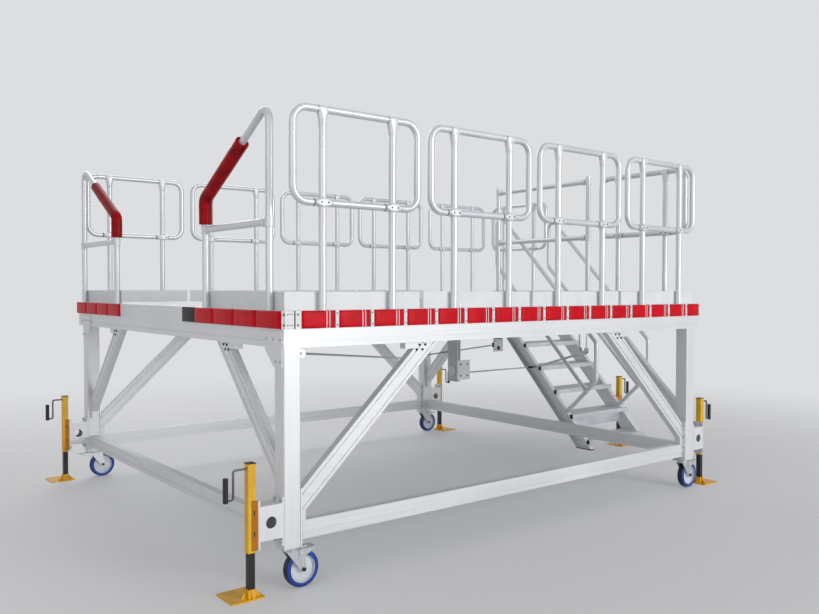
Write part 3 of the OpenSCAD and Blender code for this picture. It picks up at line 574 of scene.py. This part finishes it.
def boss(bm, middle, along, out):
    """A crowned lens on both faces of the middle tube."""
    arc = (boss_l ** 2 + boss_h ** 2) / (4 * boss_h)
    steps = [boss_l / 2 * math.sin(math.pi / 2 * (i / 9)) for i in range(-9, 10)]
    upper = [(x, math.sqrt(arc ** 2 - x ** 2) - arc + boss_h / 2) for x in steps]
    outline = upper + [(x, -z) for x, z in reversed(upper[1:-1])]
    lofted(bm, [
        [middle + along * x * share + Vector((0, 0, z * share)) + out * depth for x, z in outline]
        for depth, share in boss_rings
    ])


castings = bmesh.new()
fixings = bmesh.new()
for x, y, along, out in guard_rows:
    for side in (-1, 1):
        post = home + Vector((x, y, 0)) + along * side * post_gap / 2
        top = post + Vector((0, 0, rail_z))
        low = post + Vector((0, 0, mid_z))
        socket(castings, top, along, out)
        boss(castings, low, along, out)
        turned(castings, low - Vector((0, 0, 0.030)), (0, 0, 1), [
            (0.0212, 0.0), (0.0218, 0.001), (0.0218, 0.059), (0.0212, 0.060),
        ], 32)
        for face in (-1, 1):
            screw_head(fixings, top + out * face * 0.0238 + Vector((0, 0, -0.021)), out * face, 0.0050)
            for dx in (-0.022, 0.022):
                screw_head(fixings, low + along * dx + out * face * 0.0284, out * face, 0.0052, 1)
        # The black ring beside each boss is the tube's joint; the thinner one beside each socket is painted shadow.
        for spot, length in ((low - along * 0.0560, 0.0070), (top - along * 0.0320, 0.0035)):
            turned(fixings, spot, -along, [
                (0.0211, 0.0), (0.0215, 0.0004), (0.0215, length - 0.0004), (0.0211, length),
            ], 32, 1)
castings_piece = make_piece("guard_castings", castings, [cast_metal], sharp=48.0)
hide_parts("guard_fittings")
make_piece("guard_fixings", fixings, [zinc, black_oxide_and_painted_shadow])

# Barrier ends and left guard tees: short cast sleeves with one grub screw. The removable
# bars of the right face end in them, and so do the middle bars of the left face.
sleeves = bmesh.new()


def sleeve(bm, place, axis, length, inner=tube_d / 2, wall=0.005):
    """A cast sleeve round a tube, rounded at both ends, from its place along the axis."""
    turned(bm, place, axis, [
        (inner + 0.0002, 0.0), (inner + wall * 0.7, 0.0), (inner + wall, 0.002), (inner + wall, length - 0.002),
        (inner + wall * 0.7, length), (inner + 0.0002, length),
    ], 32)


def tee(spot, side, length, screw, face):
    """A sleeve round a post, one round the bar that leaves it, and the screw on their face."""
    post = home + Vector(spot)
    sleeve(sleeves, post - Vector((0, 0, 0.030)), (0, 0, 1), 0.060)
    sleeve(sleeves, post + Vector((0, side * 0.024, 0)), (0, side, 0), length)
    screw_head(sleeves, post + Vector(screw), (face, 0, 0), 0.005)


for y, side in ((1.058, 1), (deck_w - 1.322, -1)):
    for z in (mid_z, rail_z):
        tee((bar_x, y, z), side, 0.046, (0.0258, side * 0.050, 0), 1)
left_x = 0.022
left_mid_z = 1.957
left_posts = (0.192, 1.000)
left_ends = ((0.0, 1), (deck_w + 0.097, -1))
for base, side in left_ends:
    for local, inward in zip(left_posts, (1, -1)):
        tee((left_x, base + side * local, left_mid_z), side * inward, 0.040, (-0.0258, 0, 0.014), -1)
make_piece("bar_sleeves", sleeves, [cast_metal])

# The foam sleeves: closed-cell foam tube under a red vinyl cover, pushed over the low bend
# of each left guard through a slit along its inner side. The slit stays shut as a dark line
# and gapes a little at the upper end; both ends are cut square.
sleeve_r = 0.0415
sleeve_bore = 0.0225
bend_r = 0.060
slant = math.radians(29.5)
bend_top = rail_z - bend_r + bend_r * math.tan((math.pi / 2 + slant) / 2)
bend_low = bend_top - (left_posts[1] - left_posts[0]) * math.tan(slant)


def along_bend(length):
    """Places and directions down the slanted tube, round its bend and down the post."""
    corner = Vector((left_posts[1], bend_low))
    down_slant = Vector((math.cos(slant), -math.sin(slant)))
    upper = 0.495 / math.cos(slant)
    lower = bend_low - (left_mid_z + tube_d - 0.010)
    cut = bend_r * math.tan((math.pi / 2 - slant) / 2)
    sweep = math.pi / 2 - slant
    total = upper - cut + bend_r * sweep + lower - cut
    s = length * total
    if s < upper - cut:
        return corner - down_slant * (upper - s), down_slant
    if s < upper - cut + bend_r * sweep:
        turned_by = (s - upper + cut) / bend_r
        start = corner - down_slant * cut
        middle = start + Vector((-math.sin(slant), -math.cos(slant))) * bend_r
        a = math.pi / 2 - slant - turned_by
        return middle + Vector((math.cos(a), math.sin(a))) * bend_r, Vector((math.sin(a), -math.cos(a)))
    return corner - Vector((0, cut + s - (upper - cut + bend_r * sweep))), Vector((0, -1))


foam = bmesh.new()
foam_cover = red_vinyl("red_vinyl_sleeve", "#8A030E", "#AC0614", 0.3)
ends = [(0.0, sleeve_bore), (0.0, sleeve_r - 0.004), (0.0012, sleeve_r - 0.0014), (0.004, sleeve_r)]
stations = ends + [(0.012 + 0.976 * i / 96, sleeve_r) for i in range(97)] + [(1 - s, r) for s, r in reversed(ends)]
stations += [(1 - i / 48, sleeve_bore) for i in range(1, 48)]
near_slit = (0.015, 0.04, 0.07, 0.11, 0.16, 0.22, 0.30, 0.42)
turns = [2 * math.pi * i / 40 for i in range(-17, 18)] + [math.pi]
turns = sorted(turns + [s * (math.pi - a) for a in near_slit for s in (-1, 1)])
for base, side in left_ends:
    rings = []
    for s, radius in stations:
        (along, z), direction = along_bend(s)
        level = Vector((-direction[1], direction[0]))
        gape = 0.035 + 0.30 * max(0.0, 1 - s / 0.10) ** 2
        ring = []
        for a in turns:
            swell = noise.noise(Vector((along * 9, z * 9, math.cos(a) * 1.3 + side))) * 0.0012
            shut = max(0.0, 1 - (math.pi - abs(a)) / gape)
            r = radius if radius < 0.037 else radius + swell - 0.0012 - min(0.014, 0.020 * shut)
            offset = level * (r * math.cos(a))
            ring.append(foam.verts.new(home + Vector((
                left_x + r * math.sin(a), base + side * (along + offset[0]), z + offset[1],
            ))))
        rings.append(ring)
    for low, high in zip(rings, rings[1:] + rings[:1]):
        for i in range(len(turns)):
            j = (i + 1) % len(turns)
            foam.faces.new((low[i], low[j], high[j], high[i]))
foam_piece = make_piece("foam_sleeves_covered", foam, [foam_cover], sharp=60.0)
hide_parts("foam_sleeves")

# The landing and the stair: a frame of flat profiles, two channel stringers on black rubber
# feet, and ribbed treads with a rounded nose. Two M8 bolts hold each tread at each end, and
# a black plug closes the hollow nose.
treads = 6
rise = deck_z / (treads + 1)
going = 0.200
landing_y = deck_w - 1.220
stair_x = deck_l
outer_x = stair_x + 0.824
tread_aluminium = ribbed_aluminium("ribbed_tread_aluminium", "#BDC1C5", "#DEE0E3")
dress("landing_frame", aluminium_x, frame_edge)
dress("stair_stringers", aluminium_y, frame_edge)
dress("stair_treads", tread_aluminium, 0.001)
rubber = powder_coat("black_rubber", "#121213", "#1E1E20", 0.6)
dress("stair_feet", rubber)
tread_bolts = bmesh.new()
plugs = bmesh.new()
plug = [(-0.0005, -0.039), (0.0300, -0.039), (0.0300, -0.002), (0.0060, -0.002), (-0.0005, -0.008)]
for i in range(1, treads + 1):
    for x, side in ((stair_x, -1), (outer_x, 1)):
        nose = home + Vector((x, landing_y - i * going, deck_z - i * rise))
        for dy in (0.075, 0.165):
            hex_bolt(tread_bolts, nose + Vector((-side * 0.039, dy, -0.022)), (side, 0, 0), plate_m)
        plate(plugs, plug, nose + Vector((0, 0.001, 0)), (0, 1, 0), (0, 0, 1), side * 0.003)
make_piece("tread_bolts", tread_bolts, [zinc])
make_piece("nosing_plugs", plugs, [rubber])

# Handrail feet: a cast shoe round the tube where it stands on the stringer, and the clamp
# where the lower rail comes back to the foot tube.
stair_slope = math.atan2(rise, going)
off_slope = Vector((0, -math.sin(stair_slope), math.cos(stair_slope)))
foot_ahead = 0.920
foot_z = deck_z - foot_ahead * rise / going - 0.062
rail_r = 0.019
rail_in = 0.0225
shoes = bmesh.new()
for x in (stair_x + rail_in, outer_x - rail_in):
    foot = home + Vector((x, landing_y - foot_ahead, foot_z)) + off_slope * 0.0006
    sleeve(shoes, foot, off_slope, 0.055, rail_r, 0.0035)
    sleeve(shoes, foot + off_slope * 0.283, off_slope, 0.044, rail_r, 0.004)
    screw_head(shoes, foot + off_slope * 0.028 + Vector((-0.0222, 0, 0)), (-1, 0, 0), 0.004)
make_piece("handrail_shoes", shoes, [cast_metal])

# The drop column: a flat aluminium post under the deck, with a white cover plate on four
# black screws, a round white cover on its left side, and a thin white conduit that goes up
# through a red sleeve into the deck.
joist_z = deck_z - 0.150
column_foot = home + Vector((deck_l - 1.040, landing_y - 0.520, joist_z - 0.555))
column_x, column_y, column_z = column_foot - home
cover_middle = Vector((0.095, 0, 0.087))
cover = bmesh.new()


def rounded_block(bm, low, high, edge, slot=0):
    """A block from its lowest to its highest corner, with its upright edges broken."""
    plan = [
        (low[0] + edge, low[1]), (high[0] - edge, low[1]), (high[0], low[1] + edge), (high[0], high[1] - edge),
        (high[0] - edge, high[1]), (low[0] + edge, high[1]), (low[0], high[1] - edge), (low[0], low[1] + edge),
    ]
    plate(bm, plan, home + Vector((0, 0, low[2])), (1, 0, 0), (0, 1, 0), high[2] - low[2], slot)


rounded_block(
    cover, (column_x + 0.020, column_y, column_z - 0.017), (column_x + 0.060, column_y + 0.128, deck_z - 0.031), 0.003,
)
plate(cover, [
    (-0.075, -0.085), (-0.072, -0.088), (0.072, -0.088), (0.075, -0.085), (0.075, 0.085), (0.072, 0.088),
    (-0.072, 0.088), (-0.075, 0.085),
], column_foot + cover_middle, (1, 0, 0), (0, 0, 1), 0.008, 1)
for dx in (-0.0365, 0.0425):
    for dz in (-0.051, 0.051):
        screw_head(cover, column_foot + cover_middle + Vector((dx, -0.008, dz)), (0, -1, 0), 0.0078, 2)
turned(cover, column_foot + Vector((0.020, 0.070, 0.077)), (-1, 0, 0), [
    (0.044, 0.0), (0.044, 0.0020), (0.041, 0.0030), (0.012, 0.0030),
], 40, 1)
# The column's aluminium is greyer than the frame's: painted shade, as under the deck.
column_metal_painted_shade = anodised_aluminium("column_aluminium_painted_shade", "Z", "#B4B7BB", "#C6C9CC")
column_piece = make_piece("drop_column_dressed", cover, [column_metal_painted_shade, white_coat, black_oxide_and_painted_shadow])
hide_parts("drop_column")
conduit = bmesh.new()
plate_top = column_z + 0.173
for dx, dy, z, slot, profile in (
    (0.052, -0.0050, plate_top - 0.002, 0,
     [(0.0050, 0.0), (0.0050, 0.10), (0.0048, 0.20), (0.0050, beam_z + 0.100 - plate_top)]),
    (0.040, -0.0075, beam_z - 0.082, 1, [(0.0060, 0.0), (0.0080, 0.003), (0.0080, 0.180), (0.0060, 0.182)]),
    (0.066, -0.0075, beam_z - 0.050, 0, [(0.0040, 0.0), (0.0076, 0.004), (0.0076, 0.150), (0.0060, 0.152)]),
):
    turned(conduit, home + Vector((column_x + dx, column_y + dy, z)), (0, 0, 1), profile, 20, slot)
red_plastic = powder_coat("red_plastic_sleeve", "#B3161B", "#C81E22", 0.35)
make_piece("column_conduit", conduit, [white_coat, red_plastic])

# The stay rods: 12 mm zinc-plated bar. One hangs from an eye bolt at the near leg to a plate
# under a joist, where black clamps hold it; the level one ends in a black sleeve at the
# stringer.
dress("stay_rods", zinc)
nuts = bmesh.new()
hex_bolt(nuts, home + Vector((leg_s + 0.035, leg_s / 2 - 0.006, beam_z - 0.034)), (0, -1, 0), 0.010)
level = home + Vector((0, column_y + 0.020, column_z + 0.058))
turned(nuts, level + Vector((column_x + 0.060, 0, 0)), (1, 0, 0), [
    (0.0110, 0.0), (0.0112, 0.001), (0.0112, 0.009), (0.0102, 0.010),
], 6)
turned(nuts, level + Vector((stair_x + 0.0385, 0, 0)), (-1, 0, 0), [
    (0.0100, 0.0), (0.0102, 0.001), (0.0102, 0.118), (0.0080, 0.120),
], 20, 1)
tag = home + Vector((8 * deck_l / 9 + 0.003, landing_y - 0.370, joist_z - 0.335))
for face in (-1, 1):
    plate(nuts, [(0.002, 0.002), (0.122, 0.002), (0.122, 0.123), (0.002, 0.123)],
          tag + Vector((0, 0.0049 if face > 0 else -0.0043, 0)), (1, 0, 0), (0, 0, 1), 0.0006, 2)
    turned(nuts, tag + Vector((0.062, face * 0.0044, 0.032)), (0, face, 0), [
        (0.0215, 0.0), (0.0215, 0.0016), (0.0185, 0.0022), (0.0060, 0.0014),
    ], 36, 1)
    for z in (0.022, 0.100):
        screw_head(nuts, tag + Vector((0.016, face * 0.0048, z)), (0, face, 0), 0.0052, 1)
tag_clamps = (((0.004, -0.013, 0.119), (0.100, 0.013, 0.133)), ((-0.012, -0.010, 0.042), (0.003, 0.010, 0.086)))
for low, high in tag_clamps:
    rounded_block(nuts, tag - home + Vector(low), tag - home + Vector(high), 0.002, 1)
make_piece("stay_fittings", nuts, [zinc, black_oxide_and_painted_shadow, white_coat])

# The stair hanger: two zinc-plated bars that hang from a plate under the right beam, joined
# by a bolted clevis. A strut of 20 mm tube runs from it to a ring on the level stay rod.
hanger = bmesh.new()
hanger_x = stair_x - 0.030
hanger_rows = (1.117, 1.200)
hanger_low = 1.030
hanger_half = 0.025
hanger_top = beam_z - 0.006
strut_top = home + Vector((hanger_x, 1.160, 1.011))
strut_foot = home + Vector((stair_x - 0.012, 1.792, 0.826))
rounded_block(
    hanger, (hanger_x - hanger_half, hanger_rows[0] - hanger_half, hanger_top),
    (hanger_x + hanger_half, hanger_rows[1] + hanger_half, beam_z), 0.004,
)
for y in hanger_rows:
    turned(hanger, home + Vector((hanger_x, y, hanger_low)), (0, 0, 1), [
        (0.0070, 0.0), (0.0080, 0.001), (0.0080, hanger_top - hanger_low),
    ], 24)
    hex_bolt(hanger, home + Vector((hanger_x - 0.0095, y, hanger_low + 0.016)), (-1, 0, 0), 0.008)
    hex_bolt(hanger, home + Vector((hanger_x + 0.016, y, hanger_top)), (0, 0, -1), 0.006)
clevis = [
    (1.103, 1.060), (1.131, 1.060), (1.142, 1.026), (1.180, 1.026), (1.188, 1.060), (1.214, 1.060), (1.208, 1.016),
    (1.176, 0.994), (1.142, 0.994), (1.108, 1.016),
]
for dx in (-0.0125, 0.0095):
    plate(hanger, clevis, home + Vector((hanger_x + dx, 0, 0)), (0, 1, 0), (0, 0, 1), 0.003)
turned(hanger, strut_top - Vector((0.016, 0, 0)), (1, 0, 0), [
    (0.0060, 0.0), (0.0070, 0.001), (0.0070, 0.031), (0.0060, 0.032),
], 6)
strut = strut_foot - strut_top
turned(hanger, strut_top, strut.normalized(), [
    (0.0050, 0.0), (0.0095, 0.006), (0.0100, 0.030), (0.0100, strut.length - 0.030), (0.0095, strut.length - 0.006),
    (0.0060, strut.length),
], 28)
turned(hanger, level + Vector((stair_x - 0.0225, 0, 0)), (1, 0, 0), [
    (0.0125, 0.0), (0.0135, 0.001), (0.0135, 0.0195), (0.0125, 0.0205),
], 24)
make_piece("stair_hanger", hanger, [zinc])

# The jacks: yellow-coated square tube with a black plastic cap, cheeks that hold it on the
# flange, a bent steel crank with a black grip, and a black inner leg on a yellow foot. The
# cheeks are the tube's yellow painted a darker orange as painted shade, and the two slots in
# each cheek are thin black sheets of painted shade.
yellow_coat = powder_coat("yellow_powder_coat", "#E6AC00", "#F5C40C", 0.36)
# The cheeks' orange is the yellow coat darkened: painted shade.
saddle_coat_painted_shade = powder_coat("yellow_coat_painted_shade", "#C67808", "#D6880E", 0.42)
dress("jack_tubes", yellow_coat, 0.0012)
dress("jack_saddles", saddle_coat_painted_shade, 0.0012)
dress("jack_cranks", powder_coat("oiled_steel", "#4A4C50", "#6E7176", 0.3))
socket_top = 0.0545


def foot_and_leg():
    """Black enamel on the inner leg, and yellow powder on its foot up to the socket's top."""
    material, tree = new_material("jack_foot_and_leg")
    place = object_place(tree)
    height = add_node(tree, "SeparateXYZ", {"Vector": place}).outputs["Z"]
    above = add_node(tree, "Math", {0: height, 1: socket_top}, operation="GREATER_THAN").outputs[0]
    rubbed = cloud(tree, place, 16.0, 7.0)
    peel = cloud(tree, place, 420.0, 2.0)
    black = colour_between(tree, rubbed, "#0A0A0B", "#19191B")
    yellow = colour_between(tree, rubbed, "#D99C08", "#F4BA12", 0.3, 0.6)
    colour = add_node(tree, "MixRGB", {"Fac": above, "Color1": yellow, "Color2": black}).outputs[0]
    rough = ranged(tree, rubbed, 0.28, 0.5)
    bump = bumped(tree, peel, 0.12, 0.0004)
    finish_material(tree, add_node(tree, "BsdfPrincipled", {
        "Base Color": colour, "Roughness": rough, "Normal": bump,
    }))
    return material


leg_coat = foot_and_leg()
for i in range(1, 6):
    dress("jack_leg_%d" % i, leg_coat, 0.001)
plastic = powder_coat("black_moulded_plastic_and_painted_shade", "#0E0E10", "#1C1C1F", 0.45)
jack_out = 0.169
leg_mid = leg_s / 2
jack_rows = [
    (-jack_out, leg_mid, -1), (frame_l + jack_out, leg_mid, 1), (-jack_out, frame_w - leg_mid, -1),
    (frame_l + jack_out, frame_w - leg_mid, 1), (outer_x + 0.126, landing_y - 0.800, 1),
]
jack_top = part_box("jack_tubes")[1].z
cap_r = 0.0236 * math.sqrt(2)
grip_r, groove_r = 0.0142, 0.0134
grip_foot = 0.515
grip_profile = [(0.0095, -0.0015), (0.0130, 0.001), (grip_r, 0.004)]
for ring in range(14):
    z = 0.008 + ring * 0.0080
    grip_profile += [(grip_r, z), (groove_r, z + 0.0020), (groove_r, z + 0.0040), (grip_r, z + 0.0060)]
grip_profile += [(grip_r, 0.1230), (0.0128, 0.1262), (0.0080, 0.1275)]
caps = bmesh.new()
grips = bmesh.new()
for x, y, side in jack_rows:
    turned(caps, home + Vector((x, y, jack_top - 0.002)), (0, 0, 1), [
        (cap_r - 0.001, 0.0), (cap_r, 0.001), (cap_r, 0.0035), (cap_r * 0.94, 0.0050), (cap_r * 0.5, 0.0055),
    ], 4, 0, math.pi / 4)
    turned(caps, home + Vector((x - side * 0.021, y, 0.675)), (-side, 0, 0), [
        (0.0105, 0.0), (0.0105, 0.0030), (0.0090, 0.0045), (0.0040, 0.0045),
    ], 24, 1)
    # Two thin black sheets on each cheek stand for its slots: painted shade.
    for dy in (-1, 1):
        cheek = Vector((side * 0.022, -dy * 0.029, 0)).normalized()
        face = Vector((side * 0.029, dy * 0.022, 0)).normalized()
        for z in (0.335, 0.445):
            spot = home + Vector((x - side * 0.0062, y + dy * 0.0355, z)) + face * 0.0004
            through = face if cheek.cross(Vector((0, 0, 1))).dot(face) > 0 else -face
            plate(caps, [(-0.003, -0.006), (0.003, -0.006), (0.003, 0.018), (-0.003, 0.018)], spot - through * 0.0010,
                  cheek, (0, 0, 1), 0.0012)
    turned(grips, home + Vector((x + side * 0.137, y, grip_foot)), (0, 0, 1), grip_profile, 32)
make_piece("jack_caps", caps, [plastic, yellow_coat])
make_piece("jack_grips", grips, [plastic])

# The castors: pressed and zinc-plated forks, white nylon hubs and blue polyurethane tyres,
# which are cast over the hub's rim and leave a smooth, soft shine. The tyre's tread is painted
# near black as painted shade. A dark lock nut ends each axle, four bolts hold each head plate,
# and the brake lever has bright pressed side plates.
fork_zinc = anodised_aluminium("pressed_zinc_plate", "Z", "#C3C6CA", "#DDDFE2", 0.7, 0.32)
hub_nylon = powder_coat("white_nylon", "#DCE2E8", "#ECEFF3", 0.26)
tyre_blue = powder_coat("blue_polyurethane", "#053A92", "#0A4AB2", 0.24)
# The tread's near-black blue is painted shade.
tread_painted_shade = powder_coat("tyre_tread_painted_shade", "#0A1426", "#101E3A", 0.5)
dress("castor_heads", fork_zinc)
castor_in = 0.070
trail = 0.060
castor_rows = [
    ("front_left", castor_in, leg_mid, 1), ("front_right", frame_l - castor_in, leg_mid, 1),
    ("rear_left", castor_in, frame_w - leg_mid, -1), ("rear_right", frame_l - castor_in, frame_w - leg_mid, 1),
]
wheel_r = 0.100
tyre_half = [
    (0.0800, -0.0228), (0.0760, -0.0232), (0.0745, -0.0240), (0.0758, -0.0246), (0.0860, -0.0246), (0.0925, -0.0242),
    (0.0962, -0.0226), (0.0986, -0.0190), (0.0996, -0.0130),
]
tyre_rings = tyre_half + [(wheel_r, 0.0)] + [(radius, -depth) for radius, depth in reversed(tyre_half)]
tread_shade_r = 0.0972
head_bolts = bmesh.new()
for i, (name, x, y, side) in enumerate(castor_rows):
    dress("castor_fork_%d" % (i + 1), fork_zinc, 0.0006)
    dress("wheel_hub_%d" % (i + 1), hub_nylon)
    centre = home + Vector((x, y, 0))
    hub = centre + Vector((trail, 0, wheel_r))
    for dx in (-0.056, 0.056):
        for dy in (-0.039, 0.039):
            hex_bolt(head_bolts, centre + Vector((dx, dy, 0.224)), (0, 0, -1), 0.008)
    rubber_ring = bmesh.new()
    turned(rubber_ring, hub, (0, 1, 0), tyre_rings, 96, hollow=True)
    for face in rubber_ring.faces:
        reach = face.calc_center_median() - hub
        # Faces out past the tread radius take the painted shade.
        face.material_index = int(math.hypot(reach.x, reach.z) > tread_shade_r)
    tyre = make_piece("tyre_%s" % name, rubber_ring, [tyre_blue, tread_painted_shade], "wheel_%s" % name, sharp=60.0)
    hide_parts("wheel_tyre_%d" % (i + 1))
    axle = bmesh.new()
    for face in (-1, 1):
        turned(axle, hub + Vector((0, face * 0.0305, 0)), (0, face, 0), [
            (0.0125, 0.0), (0.0127, 0.0006), (0.0127, 0.0024),
        ], 28)
        turned(axle, hub + Vector((0, face * 0.0329, 0)), (0, face, 0), [
            (0.0112, 0.0), (0.0112, 0.0070), (0.0100, 0.0082), (0.0050, 0.0084),
        ], 6, 1)
    make_piece("axle_nuts_%s" % name, axle, [zinc, black_oxide_and_painted_shadow], "castor_%s" % name)
    lever = bmesh.new()
    wedge = [(0.030, 0.165), (0.062, 0.165), (0.132, 0.205), (0.132, 0.212), (0.030, 0.212)]
    wedge = [(side * a, b) for a, b in wedge]
    for face in (-1, 1):
        plate(lever, wedge, centre + Vector((0, face * 0.0325 + 0.0012, 0)), (1, 0, 0), (0, 0, 1), 0.0024)
        turned(lever, centre + Vector((side * 0.044, face * 0.0312, 0.188)), (0, face, 0), [
            (0.0070, 0.0), (0.0070, 0.0045), (0.0050, 0.0055),
        ], 20)
    for dx, length in ((0.050, 0.034), (0.130, 0.030)):
        turned(lever, centre + Vector((side * dx, -length, 0.2125)), (0, 1, 0), [
            (0.0030, 0.0), (0.0040, 0.001), (0.0040, 2 * length - 0.001), (0.0030, 2 * length),
        ], 16)
    make_piece("brake_lever_%s" % name, lever, [fork_zinc], "castor_%s" % name)
make_piece("castor_bolts", head_bolts, [zinc])

# The camera stands where the photographer stood, near the front left corner, at eye level.
turn_right = 0.6676
look_down = 0.0222
lean = 0.0015
camera = bpy.data.objects.new("camera", bpy.data.cameras.new("camera"))
camera.data.lens = 35.9
camera.data.sensor_width = 36.0
camera.data.clip_end = 200.0
camera.location = home + Vector((-2.108, -3.7275, 1.596))
aimed = Matrix.Rotation(-turn_right, 4, "Z") @ Matrix.Rotation(math.pi / 2 - look_down, 4, "X")
camera.rotation_euler = (aimed @ Matrix.Rotation(lean, 4, "Z")).to_euler()
bpy.context.scene.collection.objects.link(camera)
bpy.context.scene.camera = camera

# The studio: a pale floor that fades into the backdrop, and soft lamps. The fade follows the
# distance from the platform, so no horizon shows, and the floor still takes its shadow.
floor_half = 60.0
backdrop = "#ECEDEF"
backdrop_strength = 0.86


def seen_rays(tree):
    """1 for a ray that the camera or a glossy face sends out, else 0."""
    paths = add_node(tree, "LightPath")
    return add_node(tree, "Math", {
        0: paths.outputs["Is Camera Ray"], 1: paths.outputs["Is Glossy Ray"],
    }, operation="MAXIMUM").outputs[0]


floor_mesh = bpy.data.meshes.new("studio_floor")
floor_corners = [(floor_half * x, floor_half * y, 0) for x, y in ((-1, -1), (1, -1), (1, 1), (-1, 1))]
floor_mesh.from_pydata(floor_corners, [], [(0, 1, 2, 3)])
floor = bpy.data.objects.new("studio_floor", floor_mesh)
bpy.context.scene.collection.objects.link(floor)
floor_finish, floor_tree = new_material("studio_floor_paint")
distance = add_node(floor_tree, "VectorMath", {0: object_place(floor_tree)}, operation="LENGTH").outputs["Value"]
fade = add_node(floor_tree, "MapRange", {
    "Value": distance, "From Min": 3.2, "From Max": 8.5, "To Min": 0.22,
}, interpolation_type="SMOOTHSTEP").outputs[0]
faded = add_node(floor_tree, "Math", {0: fade, 1: seen_rays(floor_tree)}, operation="MULTIPLY").outputs[0]
painted = add_node(floor_tree, "BsdfPrincipled", {
    "Base Color": linear("#EFEFF0"), "Roughness": 0.6, "Specular IOR Level": 0.2,
})
glow = add_node(floor_tree, "Emission", {"Color": linear(backdrop), "Strength": backdrop_strength})
finish_material(floor_tree, add_node(floor_tree, "MixShader", {
    0: faded, 1: painted.outputs[0], 2: glow.outputs[0],
}))
floor_mesh.materials.append(floor_finish)

world = bpy.data.worlds.new("studio_world")
world.use_nodes = True
sky_tree = world.node_tree
sky_tree.nodes.clear()
strength = ranged(sky_tree, seen_rays(sky_tree), 0.40, backdrop_strength)
sky = add_node(sky_tree, "Background", {"Color": linear(backdrop), "Strength": strength})
add_node(sky_tree, "OutputWorld", {"Surface": sky.outputs[0]})
bpy.context.scene.world = world

# Each lamp: name, place from the platform's corner, size and power. All look at the same spot.
lamps_aim = home + Vector((1.9, 1.7, 0.9))
for name, place, size, power in (
    ("key_lamp", (6.2, -14.0, 3.6), 7.0, 1000.0),
    ("fill_lamp", (-5.5, -3.0, 3.5), 5.0, 70.0),
    ("rear_lamp", (2.5, 8.0, 6.0), 5.0, 170.0),
):
    lamp = bpy.data.objects.new(name, bpy.data.lights.new(name, "AREA"))
    lamp.data.size = size
    lamp.data.energy = power
    lamp.location = home + Vector(place)
    lamp.rotation_euler = (lamps_aim - lamp.location).to_track_quat("-Z", "Y").to_euler()
    bpy.context.scene.collection.objects.link(lamp)

bpy.context.scene.view_settings.view_transform = "Standard"
